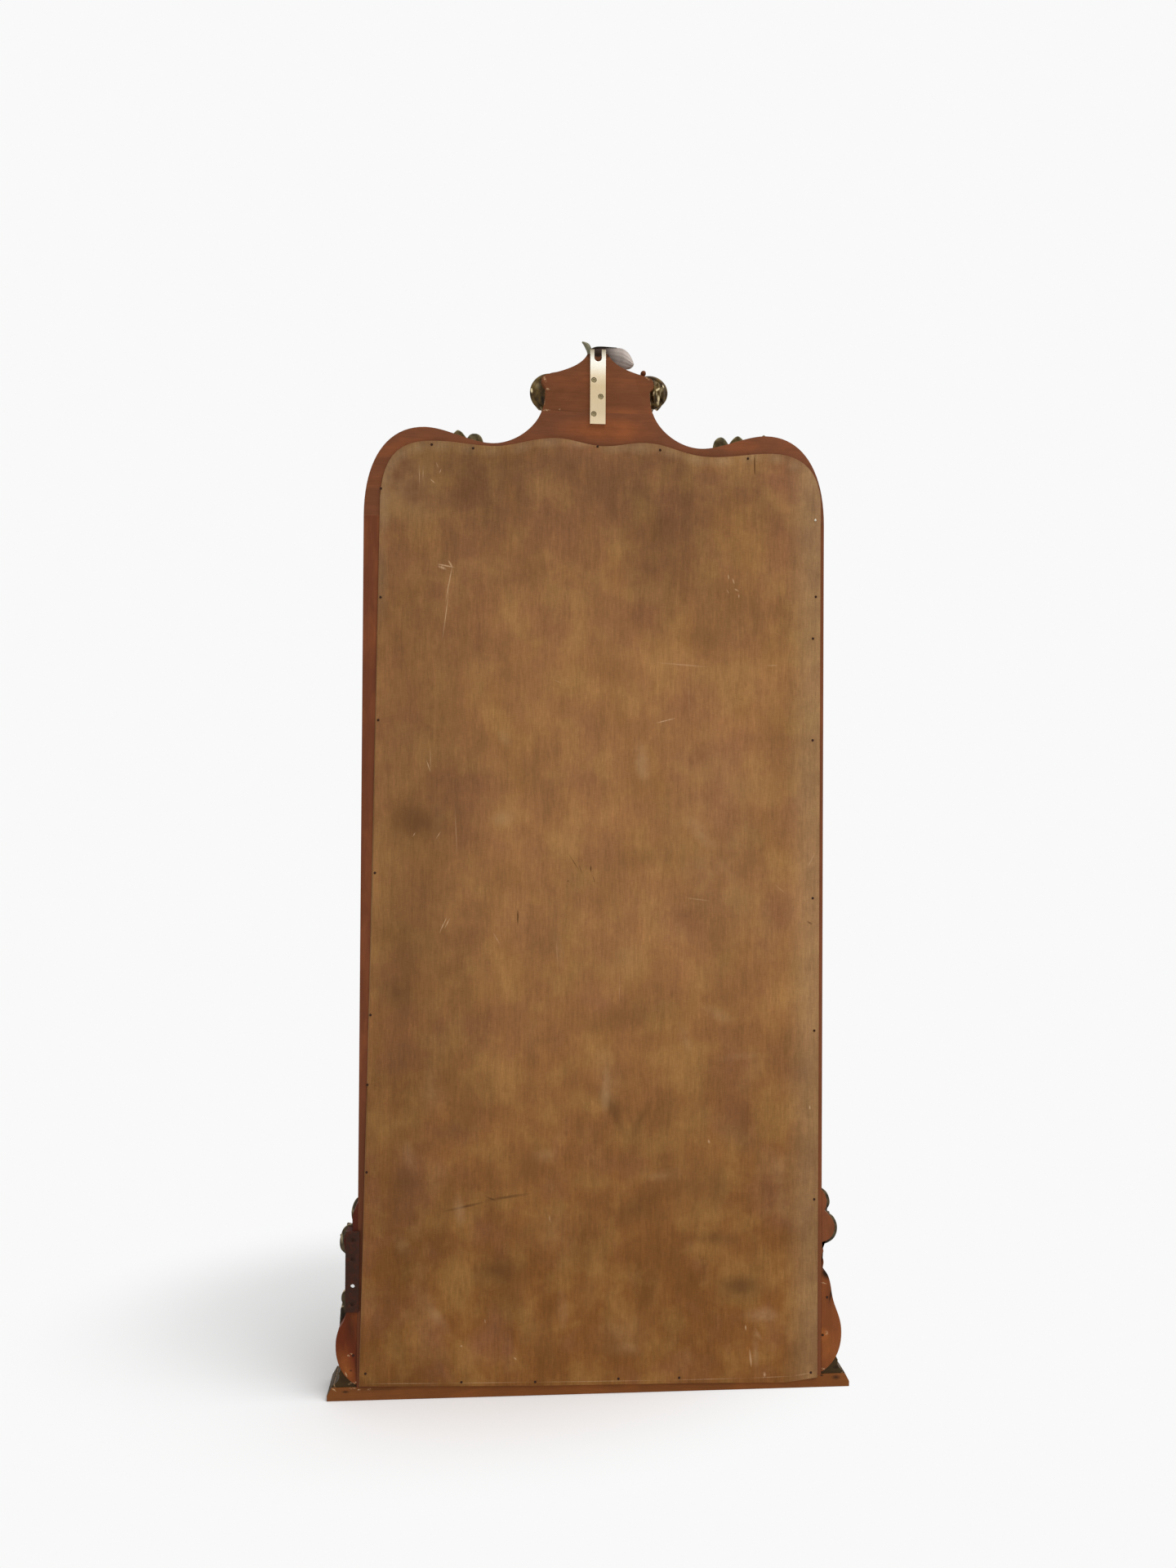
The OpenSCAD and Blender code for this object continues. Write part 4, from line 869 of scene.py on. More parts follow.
# The boards: node, tone, direction of the grain, and where they are chipped, darkened and warm; the
# dark marks are grime, and painted shade round the plate's slot.
BOARDS = (
    ("left_stile", "#79472c", "Z", (), (), ()),
    ("right_stile", "#714029", "Z", (), ((362, 200, 90, 330, 30, 0.45),), ()),
    ("top_rail", "#74462e", "X", (), (), ((-15, 1536, 0, 90, 26, 1.6),)),
    ("crest_board", "#75462c", "X",
     ((85, 1615, 70, 7, 2.4, 1.3), (82, 1599, 0, 7, 2.2, 1.3), (86, 1580, 80, 10, 2.2, 0.9),
      (83, 1565, 0, 9, 2.2, 1.2), (61, 1567, 0, 3, 2, 0.9), (-80, 1621, 30, 7, 2.4, 0.9),
      (-85, 1592, 84, 12, 1.6, 0.8), (-86, 1578, 120, 7, 1.6, 0.8)),
     # The dark marks round the slot of the hanging plate are painted shade of the plate and the
     # leaf.
     ((50, 1565, 2, 42, 1.1, 0.5), (0, 1660, 0, 9, 6, 2.0), (-17, 1656, 120, 7, 4, 1.2),
      (16, 1656, 60, 7, 4, 0.9), (-6, 1650, 90, 9, 1.6, 0.9), (6, 1650, 90, 9, 1.6, 0.9),
      (-37, 1650, 30, 5, 2.4, 0.9), (86, 1588, 80, 9, 2.4, 0.8)),
     ((-38, 1556, 0, 46, 22, 1.1),)),
    ("left_ear_block", "#79472c", "Z", (), ((-394, 250, 90, 30, 5, 0.9),), ()),
    ("right_ear_block", "#4f2418", "Z", (), (), ()),
    ("left_foot_block", "#7e4727", "Z",
     ((-378.4, 86.5, 0, 3.4, 4, 1.1), (-373, 166, 8, 6, 2, 1.8), (-399, 59, 70, 4, 1.6, 1.4),
      (-374, 29, 20, 5, 2, 1.2)),
     ((-377, 182, 60, 14, 9, 1.4), (-386, 150, 104, 18, 2.4, 1.0), (-384, 150, 90, 30, 9, 0.3)),
     ((-374, 82, 60, 16, 12, 1.0), (-382, 60, 80, 40, 20, 0.8))),
    ("right_foot_block", "#652e19", "Z",
     ((382.4, 70.3, 0, 2.4, 2, 3.0), (378.5, 73.1, 0, 2.0, 1.6, 2.4), (386, 41, 60, 6, 1.6, 1.6),
      (374, 27, 160, 9, 2.2, 1.6)),
     ((379, 112, 86, 44, 12, 0.6), (371, 60, 90, 40, 3, 0.6), (379, 47, 0, 3, 2, 1.0)),
     ((386, 50, 70, 44, 16, 0.8),)),
)

# Two boards are drawn anew: the right ear block below its cut top, and the left one with small
# scallops down the frame.
BLOCK_OUTLINES = {
    "right_ear_block": (
        (370, 309), (372.5, 304), (374.5, 299), (377, 293), (378.6, 286), (378.4, 277),
        (377.4, 268), (378.9, 263.6), (387.7, 263.3), (390.2, 257.5), (391.4, 248.6), (390, 235.8),
        (384.9, 230.6), (378, 224), (372, 218.5), (370, 214)),
    "left_ear_block": (
        (-370, 315), (-372, 313.5), (-375.8, 307.8), (-378.6, 298.3), (-377.4, 288),
        (-374.4, 282.2), (-379, 279), (-384, 273.5), (-389, 266), (-391.6, 259), (-391.6, 252),
        (-389.6, 246.5), (-387, 241), (-383, 237), (-377, 233.5), (-371.2, 231.6), (-370.1, 226),
        (-372.6, 221.5), (-373.2, 217), (-370.7, 209.7), (-373, 204), (-373.6, 199), (-372.4, 192),
        (-371.8, 187), (-370, 181)),
}


# Pieces


class BuildCarcass(bpy.types.Operator):
    """Boards of the back: stiles, rails, crest board, ear blocks and foot blocks"""

    bl_idname = "mirror.build_carcass"
    bl_label = "Carcass"

    def execute(self, context):
        wood = context.scene.mirror_carcass
        width = wood.edge / MM
        streak = tuple(wood.streak)
        front = water_gilding(context, "gilded_ground", 0.6)
        for node, tone, along, chips, darkening, warm in BOARDS:
            name = node + "_wood"
            if node in BLOCK_OUTLINES:
                piece = smooth(shape(name, BLOCK_OUTLINES[node], 0, CARCASS_T - GAP, width))
            else:
                piece = soften(copy_of(node, name), width, self.on_joint)
            if node == "crest_board":
                # The cheeks stand a hair proud, and a knob of wood shows beside the left volute.
                cheeks = [smooth(shape("cheek", cheek, -0.06, CARCASS_T - GAP, 0.3))
                          for cheek in CHEEKS]
                knob = bead(-74.8, 1632.6, CARCASS_T / 2, 4.4, (1, 1, 2.2))
                piece = join([piece, knob] + cheeks, name)
            foot = "foot" in node
            flame = linear("#9b5b2d") if foot else streak
            stain = stained_softwood("stained_" + node, linear(tone), flame, along, chips, darkening,
                                     warm)
            finish(piece, [node], "light_wood" if foot else "stained_wood", stain, front)
            # What shows in front, beside the moulding and the carving, is gilded.
            paint_faces(piece, 1, lambda face: face.normal.y < -0.7)
        inner = stained_softwood("stained_bottom_rail", tuple(wood.stain), streak, "X")
        pale = stained_softwood("bare_softwood", linear("#9a7450"), linear("#b08a5c"))
        dress("bottom_rail", inner)
        dress("glazing_blocks", pale)
        dress("crest_dowels", pale)
        return {"FINISHED"}

    def on_joint(self, edge):
        """Whether an edge lies at the spring or under the crest board, where two boards meet."""
        return all(min(abs(v.co.z - z * MM) for z in (SPRING_Z, NECK_Z)) < 0.2 * MM
                   for v in edge.verts)


def islands(node):
    """The (x, z) of each separate small solid of a node, from its loose parts."""
    copy = copy_of(node, "parts")
    with editing(copy):
        bpy.ops.mesh.separate(type="LOOSE")
    places = []
    for part in list(bpy.context.selected_objects):
        xs = [v.co.x for v in part.data.vertices]
        zs = [v.co.z for v in part.data.vertices]
        places.append(((min(xs) + max(xs)) / 2, (min(zs) + max(zs)) / 2))
        bpy.data.objects.remove(part)
    return places


def disc(radius, depth, sides, rounded=0.0):
    """A short cylinder along the depth, with the rim of its back face rounded."""
    bpy.ops.object.select_all(action="DESELECT")
    bpy.ops.mesh.primitive_cylinder_add(vertices=sides, radius=radius * MM, depth=depth * MM,
                                        rotation=(math.pi / 2, 0, 0))
    head = bpy.context.object
    bpy.ops.object.transform_apply(location=False, rotation=True, scale=False)
    if rounded:
        with editing(head):
            choose_edges(head, lambda edge: all(v.co.y > (depth / 2 - 0.1) * MM
                                                for v in edge.verts))
            bpy.ops.mesh.bevel(offset=rounded * MM, segments=3, affect="EDGES", clamp_overlap=True)
    return head


def copied(head, node, name, lift):
    """Copies a head to each place of a node, this far behind the carcass, and joins the copies."""
    heads = []
    for x, z in islands(node):
        copy = head.copy()
        copy.data = head.data.copy()
        copy.data.transform(Matrix.Translation((x, BACK_Y + lift * MM, z)))
        bpy.context.scene.collection.objects.link(copy)
        heads.append(copy)
    bpy.data.objects.remove(head)
    return join(heads, name)


class BuildBackboard(bpy.types.Operator):
    """Thin backboard with its wash, scratches and stains, its nails and the nails of the blocks"""

    bl_idname = "mirror.build_backboard"
    bl_label = "Backboard and nails"

    def execute(self, context):
        wood = context.scene.mirror_carcass
        metal = context.scene.mirror_hardware
        board = soften(copy_of("backboard", "backboard_panel"), 0.8)
        face = stained_board("stained_board", tuple(wood.board_top), tuple(wood.board_middle),
                             tuple(wood.board_foot))
        sawn = stained_softwood("sawn_edge", linear("#8c6843"), linear("#9c7850"))
        finish(board, ["backboard"], "backboard", face, sawn)
        # Its rounded rim shows the sawn edge.
        paint_faces(board, 1, lambda f: abs(f.normal.y) < 0.9)
        iron = rusted_iron("nail_iron", tuple(metal.iron), linear("#38200f"))
        bright = plated_steel("nail_steel", linear("#cfc6b4"))
        # One nail is newer than the others.
        shiny = place(-355.7, 1398, 0)
        for node, seat in (("backboard_nails", BOARD_T), ("block_nails", 0)):
            heads = copied(smooth(disc(2, 1.2, 20, 0.7)), node, node + "_heads", seat + 0.2)
            finish(heads, [node], "iron", iron, bright)
            paint_faces(heads, 1, lambda f: abs(f.center.x - shiny.x) < 5 * MM
                        and abs(f.center.z - shiny.z) < 8 * MM)
        return {"FINISHED"}


class FitPlates(bpy.types.Operator):
    """Slotted hanging plate and iron mending plate with their countersunk screws"""

    bl_idname = "mirror.fit_plates"
    bl_label = "Metal plates"

    def execute(self, context):
        metal = context.scene.mirror_hardware
        # The plate's colour by height is painted reflection and shade: bright at its head below a
        # rim darkened as painted shade, and duller at its middle.
        painted_shading = [(z, linear(shade)) for z, shade in
                  ((PLATE_FOOT, "#e6d1af"), (PLATE_TOP, "#a5977f"), (1552, "#e2cdab"),
                   (1562, "#d8c4a1"), (1621, "#e9d6b6"), (1630, "#f5ead3"), (1638, "#fffaea"),
                   (1648, "#fffdf2"), (1656, "#ddd4c0"))]
        nickel = plated_steel("nickel_plate", levels=painted_shading + [(1606, tuple(metal.nickel))])
        iron = rusted_iron("mending_iron", tuple(metal.iron), tuple(metal.rust))
        screw_steel = plated_steel("screw_steel", linear("#998b69"))
        darkening = rusted_iron("recess_painted_shade", linear("#1e1711"), linear("#2a1d12"))
        strip = [(-PLATE_HALF_W, PLATE_FOOT), (PLATE_HALF_W, PLATE_FOOT), (PLATE_HALF_W, PLATE_TOP),
                 (SLOT_R, PLATE_TOP), *arc(0, SLOT_Z, SLOT_R, SLOT_R, range(0, -190, -10)),
                 (-SLOT_R, PLATE_TOP), (-PLATE_HALF_W, PLATE_TOP)]
        holes = [(x / MM, z / MM, 4.3) for x, z in islands("hanging_plate_screws")]
        plate = shape("hanging_plate_strip", strip, -PLATE_T, 0, 0.3, holes)
        finish(smooth(plate), ["hanging_plate"], "nickel", nickel)
        finish(self.screws("hanging_plate_screws", metal.screw_sink), ["hanging_plate_screws"],
               "nickel", screw_steel, darkening)
        plate = soften(copy_of("mending_plate", "mending_plate_strip"), 0.5, shortest=0.6)
        finish(plate, ["mending_plate"], "iron", iron)
        finish(self.screws("mending_plate_screws", metal.screw_sink), ["mending_plate_screws"],
               "iron", iron)
        dress("plinth_screws", iron)
        return {"FINISHED"}

    def screws(self, node, sink):
        """Countersunk heads with a small round recess, sunk in the face of a plate."""
        radius, thick = 3.9, 2
        head = disc(radius, thick, 32, 0.8)
        # The recess for the driver is worn round, and its inside is painted shade.
        recess = 2
        bit = disc(recess, 2.6, 20)
        bit.data.transform(Matrix.Translation((0, 1.1 * MM, 0)))
        apply(head, "BOOLEAN", object=bit, operation="DIFFERENCE", solver="EXACT")
        bpy.data.objects.remove(bit)
        smooth(head)
        paint_faces(head, 1, lambda f: -0.5 * MM < f.center.y < 0.95 * MM
                    and math.hypot(f.center.x, f.center.z) < (recess + 0.2) * MM)
        return copied(head, node, node[:-1] + "_heads", PLATE_T - thick / 2 - sink / MM)


class BuildPlinth(bpy.types.Operator):
    """Plinth board, and the splayed moulding that runs round its front and ends"""

    bl_idname = "mirror.build_plinth"
    bl_label = "Plinth"

    def execute(self, context):
        front = water_gilding(context, "gilded_plinth", 0.6)
        board = soften(copy_of("plinth_board", "plinth_board_wood"), 0.8)
        # The long thin dark marks along the top of the board are painted shadow under the
        # backboard.
        stain = stained_softwood(
            "stained_plinth", linear("#784825"), linear("#92562b"), "X",
            ((405, 18, 40, 5, 1.8, 1.6), (376, 19, 0, 7, 1.8, 1.0), (350, 17, 0, 5, 1.8, 1.2),
             (366, 17, 0, 4, 1.5, 1.2), (-352, 15, 0, 10, 1.6, 0.6)),
            ((387, 14, 0, 7, 2.5, 1.0), (330, 17, 0, 60, 3, 0.4), (-60, 17, 0, 120, 2.4, 0.4),
             (-394, 15, 0, 9, 5, 0.9), (-370.6, 18.6, 0, 4, 1.8, 1.2)))
        # The dark brown paint of the ends is partly painted shade.
        back = stained_softwood("plinth_end_paint", linear("#433420"), linear("#5c4b31"), "X",
                                ((405, 24, 60, 6, 1.6, 1.0), (378, 27, 150, 8, 2, 0.8),
                                 (-404, 20, 120, 5, 1.6, 1.0)),
                                ((-395, 30, 0, 7, 4, 1.0), (392, 32, 40, 12, 7, 0.5)))
        finish(board, ["plinth_board"], "light_wood", stain, front, back)
        # The front and the foremost 8 mm of the board are gilded, and its ends are painted.
        gilt_from = BACK_Y - (PLINTH_D - 8) * MM
        paint_faces(board, 1, lambda f: f.normal.y < -0.5 or f.center.y < gilt_from)
        paint_faces(board, 2, lambda f: abs(f.normal.x) > 0.4)
        # The moulding starts a little in front of the back, turns two corners and comes back.
        start = 3
        sides = [self.ring(sign, d) for sign, d in ((1, start), (1, None), (-1, None), (-1, start))]
        steps = (0, 0.01, 0.03, 0.1, 0.3, 0.5, 0.7, 0.9, 0.97, 0.99)
        rings = [between(*pair, t) for pair in zip(sides, sides[1:]) for t in steps]
        moulding = smooth(skin("plinth_moulding", rings + [sides[-1]]), 25)
        finish(moulding, ["plinth_front", "plinth_left_return", "plinth_right_return"], "gilt",
               front, back)
        # It is painted behind, at its ends, and past the frame wherever it doesn't face forward, in
        # a dark brown that is partly painted shade.
        paint_faces(moulding, 1, lambda f: f.normal.y > 0.7 or abs(f.normal.x) > 0.4
                    or abs(f.center.x) > (HALF_W + 2) * MM and f.normal.y > -0.3)
        # Finer faces keep the rubbed edges of the gilding narrow, here and on the slips.
        core = soften(copy_of("plinth_core", "plinth_filling"), 0.5)
        apply(core, "SUBSURF", subdivision_type="SIMPLE", levels=4)
        finish(core, ["plinth_core"], "gilt", front)
        return {"FINISHED"}

    def ring(self, sign, d):
        """The section at a corner, or at an end at depth d: a fillet, a cove and a lip."""
        bottom, cove, steps = 20, 24, 8
        section = [(bottom, 0), (23, 0), (cove, 2)]
        section += [(cove + 16 * i / steps, 2 + 3.2 * math.sin(math.pi * i / steps))
                    for i in range(1, steps)]
        section += [(40, 2), (41, 0.4), (PLINTH_H, 0.4)]
        ring = []
        for z, sunk in section:
            x = PLINTH_HALF_W - (z - LEAN_FROM) * END_LEAN - sunk
            face = PLINTH_D - (z - LEAN_FROM) * FRONT_LEAN - sunk
            ring.append(place(sign * x, z, face if d is None else d))
        inner = 62 if d is None else d
        ring += [place(sign * (HALF_W + 1), z, inner) for z in (PLINTH_H, bottom)]
        # More points on each side of the section keep the wear close to its edges.
        return [a.lerp(b, t) for a, b in zip(ring, ring[1:] + ring[:1])
                for t in (0, 0.12, 0.5, 0.88)]


def between(first, second, t):
    """The ring at t between two rings."""
    return [a.lerp(b, t) for a, b in zip(first, second)]


def with_ends(rings):
    """Adds two rings just inside each end, which keep the wear on an end from spreading."""
    first = [between(rings[0], rings[1], t) for t in (0.03, 0.08)]
    last = [between(rings[-1], rings[-2], t) for t in (0.08, 0.03)]
    return [rings[0]] + first + rings[1:-1] + last + [rings[-1]]


def across_top(w, steps):
    """The line across the top, w inside the outer edge, from the left spring to the right."""
    outer = chain(OUTER_CURVES, steps)
    sight = chain(SIGHT_CURVES, steps)
    half = [mix(a, b, w / BAND_W) for a, b in zip(outer, sight)]
    return [Vector((-p.x, p.y)) for p in half] + half[-2::-1]


def moulding_profile():
    """Section of the gilt moulding: distance in from its edge, and height above the carcass."""
    swell = ((11.5, 12), (19, 12.5), (22.1, 33), (31.1, 33))
    slope = ((31.1, 33), (44.1, 33), (43, 8), (57, 8))
    points = [(1, 0), (1, 9.2), (1.8, 10.4), (1.8, 12.6), (3.2, LEDGE_H), (9.6, LEDGE_H), (11, 13)]
    points += [tuple(bezier(swell, i / 10)) for i in range(10)]
    points += [tuple(bezier(slope, i / 12)) for i in range(13)]
    return points + arc(60, 9, 3, 3, range(165, -30, -15)) + [(63, 0)]


class RunMouldings(bpy.types.Operator):
    """Gilt moulding round the glass, and the slips that lap its edge"""

    bl_idname = "mirror.run_mouldings"
    bl_label = "Mouldings, slips and glass"

    def execute(self, context):
        gold = water_gilding(context, "gilded_moulding", 0.45)
        profile = moulding_profile()
        lines = [across_top(w, 20) for w, _ in profile]
        inner = HALF_W - BAND_W
        runs = {"top": [[place(line[i].x, line[i].y, CARCASS_T + h)
                         for line, (_, h) in zip(lines, profile)] for i in range(len(lines[0]))]}
        for side, sign in (("left", -1), ("right", 1)):
            runs[side] = [[place(sign * (HALF_W - w), z, CARCASS_T + h) for w, h in profile]
                          for z in (mix(MOULDING_FOOT, SPRING_Z, i / 100) for i in range(101))]
        runs["bottom"] = [[place(x, PLINTH_H + w, CARCASS_T + h) for w, h in profile]
                          for x in (mix(-inner, inner, i / 50) for i in range(51))]
        for side, rings in runs.items():
            piece = smooth(skin(side + "_gilt_moulding", with_ends(rings)))
            finish(piece, [side + "_moulding"], "gilt", gold)
        for node in ("left_slip", "right_slip", "top_slip", "bottom_slip"):
            piece = soften(copy_of(node, node + "_gilt"), 0.6)
            if node != "top_slip":
                apply(piece, "SUBSURF", subdivision_type="SIMPLE", levels=3)
            finish(piece, [node], "gilt", gold)
        glass = soften(copy_of("mirror_glass", "mirror_plate"), 1.0)
        finish(glass, ["mirror_glass"], "mirror_glass", silvered_glass("silvered_glass"))
        return {"FINISHED"}


class CarveCrest(bpy.types.Operator):
    """Carving of the crest: two scrolls with volutes, the shell and the bent leaf on top"""

    bl_idname = "mirror.carve_crest"
    bl_label = "Crest carving"

    def execute(self, context):
        colours = context.scene.mirror_gilding
        # The eye of each volute, how far it reaches sideways and up, and its folds.
        sides = {"right": ((76, 1600), (32.5, 32), 0), "left": ((86, 1605), (30.5, 28), 3)}
        carve_pair("crest", "crest_scroll", self.scroll, sides, colours.grain,
                   water_gilding(context, "gilded_crest", back=VOLUTE_BACK))
        shell = carve("crest_shell_carving", self.shell(), colours.grain, CARCASS_T)
        finish(shell, ["crest_shell"], "gilt",
               water_gilding(context, "gilded_shell", back=("#2c2115", "#463622", (), ())))
        silver = silvered_leaf("silvered_leaf", tuple(colours.silver), linear("#2c190f"))
        # The fold along the top of the leaf is a dark rod, painted shade under its rolled edge.
        fold_shade = silvered_leaf("painted_shade_fold", linear("#4d463b"), linear("#2a241b"))
        blades, fold = self.plume()
        plume = smooth(join(blades, "crest_leaf_carving"), 60)
        finish(plume, ["crest_plume"], "silvered_gilt", silver,
               water_gilding(context, "gilded_plume"))
        paint_faces(plume, 1, lambda f: f.normal.y < -0.35)
        fold.name = fold.data.name = "crest_leaf_fold"
        finish(smooth(fold, 60), [], "silvered_gilt", fold_shade)
        return {"FINISHED"}

    def scroll(self, form):
        """The stem follows the neck, winds into a volute and sends an arm up to the crest."""
        (x, z), (wide, tall), folds = form
        stem = [bezier(NECK_CURVE, t) for t in (0.36, 0.5, 0.64, 0.78, 0.92)]
        parts = []
        for shift, lift, radius in ((-9.5, 1, 3.4), (-14.5, -1.5, 3.0), (-19.5, 0, 3.4)):
            line = [(p.x + shift * 0.8, p.y + shift * 0.55 + 2, CARCASS_T + 3 + lift + i)
                    for i, p in enumerate(stem)]
            line += [(x + 0.26 * wide + shift, z - 0.8 * tall, CARCASS_T + 10 + lift),
                     (x + 0.66 * wide + shift, z - 0.4 * tall, CARCASS_T + 13 + lift)]
            parts.append(rod(line, taper(radius * 0.8, radius * 1.3, len(line))))
        # The volute swells round the edge of the crest board. Its rim stands proud at the back, and
        # upright folds lie between the rim and the board.
        parts.append(bead(x, z, CARCASS_T + 3, 1, (wide - 2, tall - 2, 17)))
        rim = 4.2
        line = [(*p, CARCASS_T - 4)
                for p in arc(x, z, wide - rim, tall - rim, range(104, -84, -12))]
        parts.append(rod(line, [rim] * len(line)))
        for i in range(folds):
            share = 0.7 - 0.24 * i
            parts.append(bead(x + share * wide, z - 1, CARCASS_T - 9 - 2.5 * i, 1,
                              (3.8, tall * (0.5 + 0.08 * i), 5.5)))
        turns = spiral(x + 1, z, 22, 6, -60, 1.8, CARCASS_T + 15, CARCASS_T + 26, 48)
        parts.append(rod(turns, taper(6, 3.4, len(turns), 0.8)))
        parts.append(bead(x + 1, z, CARCASS_T + 25, 6.5))
        arm = [(x - 12, z + 20, CARCASS_T + 12), (58, 1621, CARCASS_T + 11),
               (44, 1628, CARCASS_T + 10), (30, 1637, CARCASS_T + 8), (17, 1650, CARCASS_T + 6)]
        parts.append(rod(arm, taper(7, 4.2, len(arm))))
        for x0, z0, x1, z1 in ((56, 1612, 78, 1620), (40, 1616, 60, 1627), (26, 1622, 42, 1637)):
            parts.append(leaf(((x0 - 8, z0 - 8, 34), (x0, z0, 40), (x1 - 6, z1 - 4, 43),
                               (x1 - 4, z1, 37)), 8, 2, 3))
        parts.append(leaf(((x - 24, z - 38, 32), (x - 12, z - 33, 44), (x - 2, z - 27, 48),
                           (x + 8, z - 20, 38)), 9, 3, 4))
        parts.append(leaf(((x - 34, z - 18, 32), (x - 32, z + 0, 44), (x - 28, z + 12, 44),
                           (x - 34, z + 20, 34)), 9, 3, 3))
        if folds:
            parts.append(bead(74.8, 1631.6, CARCASS_T + 2, 4))
            parts.append(rod([(74.8, 1631, 30), (74.5, 1627, 33), (73, 1623, 38)], [3.4, 3.6, 4]))
        return parts

    def shell(self):
        """A scallop: nine ribs fan out from a small scroll at its foot."""
        bpy.ops.object.select_all(action="DESELECT")
        bpy.ops.mesh.primitive_grid_add(x_subdivisions=110, y_subdivisions=26, size=1)
        fan = bpy.context.object
        ribs = 9
        for vertex in fan.data.vertices:
            turn, out = vertex.co.x + 0.5, vertex.co.y + 0.5
            angle = math.radians(mix(10, 170, turn))
            rib = abs(math.sin(math.pi * ribs * turn))
            r = mix(8, 53, out) * (1 + 0.09 * out * rib) * mix(0.9, 1, math.sin(angle))
            d = CARCASS_T + 5 + 17 * math.sin(math.pi * (0.12 + 0.7 * out)) + 8 * out * rib ** 0.8
            vertex.co = place(r * math.cos(angle), SHELL_Z + r * math.sin(angle), d)
        apply(fan, "SOLIDIFY", thickness=9 * MM, offset=0)
        parts = [fan, bead(0, SHELL_Z + 3, CARCASS_T + 12, 11, (1.1, 0.9, 0.9)),
                 bead(0, SHELL_Z + 17, CARCASS_T + 6, 30, (1.1, 0.9, 0.35))]
        for sign in (-1, 1):
            turns = [(sign * a, b, d) for a, b, d in
                     spiral(17, SHELL_Z + 1, 9, 3, 150, -1.5, CARCASS_T + 10, CARCASS_T + 16, 30)]
            parts.append(rod(turns, taper(4.2, 2.6, len(turns))))
        # The stalk of the bent leaf climbs from the top of the shell.
        parts.append(leaf(((0, 1600, 34), (0, 1620, 47), (0, 1642, 48), (2, 1672, 43)),
                          12, 4, 4, 4))
        parts.append(bead(0, 1650, 35, 1, (12, 13, 6)))
        return parts

    def plume(self):
        """A leaf that bends over to one side, with one upright tip, and the fold along its top."""
        tip = sheet(((-4, 1655, 38), (4, 1672, 41), (9.9, 1686.6, 42), (15.7, 1690.4, 41),
                     (21.6, 1691.2, 40)),
                    ((11, 1655, 38), (14.6, 1674, 41), (17, 1680, 42), (20, 1685.5, 41),
                     (23.2, 1689.4, 40)), 1.5, 3.0)
        blade = sheet(((8, 1679, 42), (0, 1682, 41), (-17, 1682.4, 40), (-34, 1682, 38.5),
                       (-43.5, 1680.6, 37.5), (-50.5, 1676.2, 37), (-56, 1669.4, 36),
                       (-60, 1661, 35), (-61.8, 1655, 35)),
                      ((8, 1664, 42), (-4, 1660, 41), (-15, 1656, 39), (-28, 1651, 37),
                       (-38, 1648, 36), (-45, 1646, 35), (-51, 1646, 35), (-56.5, 1647.6, 35),
                       (-61, 1651.5, 35)),
                      3.0, 3.2, 5, 0.28, 48, 26)
        fold = [(10, 1677, 41.5), (3, 1681.6, 40.4), (-8, 1682.9, 39.6), (-20, 1682.6, 39),
                (-34, 1682, 38)]
        return [tip, blade], rod(fold, taper(2.2, 0.6, 5))


class CarveShoulders(bpy.types.Operator):
    """Sprays of leaves that lie on the moulding at both shoulders"""

    bl_idname = "mirror.carve_shoulders"
    bl_label = "Shoulder leaves"

    def execute(self, context):
        # Each leaf that shows above the wood is a line of (x, z) over its rounded top.
        tops = {
            "right": (((238, 1528), (229, 1537.5), (224, 1541), (217.5, 1538), (210, 1529)),
                      ((209, 1528), (204, 1534), (198, 1536), (191, 1535), (185.5, 1530.5),
                       (182, 1521), (181, 1512))),
            "left": (((193, 1516), (195, 1530), (200, 1538), (208, 1541), (215, 1537), (220, 1529)),
                     ((219, 1527), (227, 1538), (235, 1543.5), (242, 1540), (250, 1531)),
                     ((272, 1538), (279, 1546.5), (287, 1538))),
        }
        carve_pair("shoulder", "shoulder_leaf", self.spray, tops,
                   context.scene.mirror_gilding.grain,
                   water_gilding(context, "gilded_leaves", back=("#4a432f", "#8f8766", (), ())))
        return {"FINISHED"}

    def spray(self, tops):
        """A stem along the shoulder, and at each top a curled leaf with a rib and a leaf below."""
        ledge = CARCASS_T + LEDGE_H
        stem = [bezier(SHOULDER_CURVE, t) for t in (0.1, 0.3, 0.5, 0.7, 0.9, 1.0)]
        parts = [rod([(p.x, p.y - 7, ledge + 3) for p in stem], taper(5, 4, len(stem)))]
        for top in tops:
            middle = sum(x for x, _ in top) / len(top)
            low = min(z for _, z in top)
            high = max(z for _, z in top)
            foot = [(mix(middle - 3, x, 0.55), low - 9, ledge + 7) for x, _ in top]
            parts.append(sheet([(x, z, ledge - 1) for x, z in top], foot, -4, 6, 2, 0.7))
            parts.append(rod([(middle, high - 3, ledge + 2), (middle - 2, high - 10, ledge + 8),
                              (middle - 4, low - 8, ledge + 8)], [2.6, 3.2, 2.4]))
            parts.append(leaf(((middle + 8, low - 2, ledge + 2), (middle, low - 12, ledge + 16),
                               (middle - 12, low - 22, ledge + 24),
                               (middle - 22, low - 30, ledge + 18)), 9, 3, 3, 3.4))
        return parts


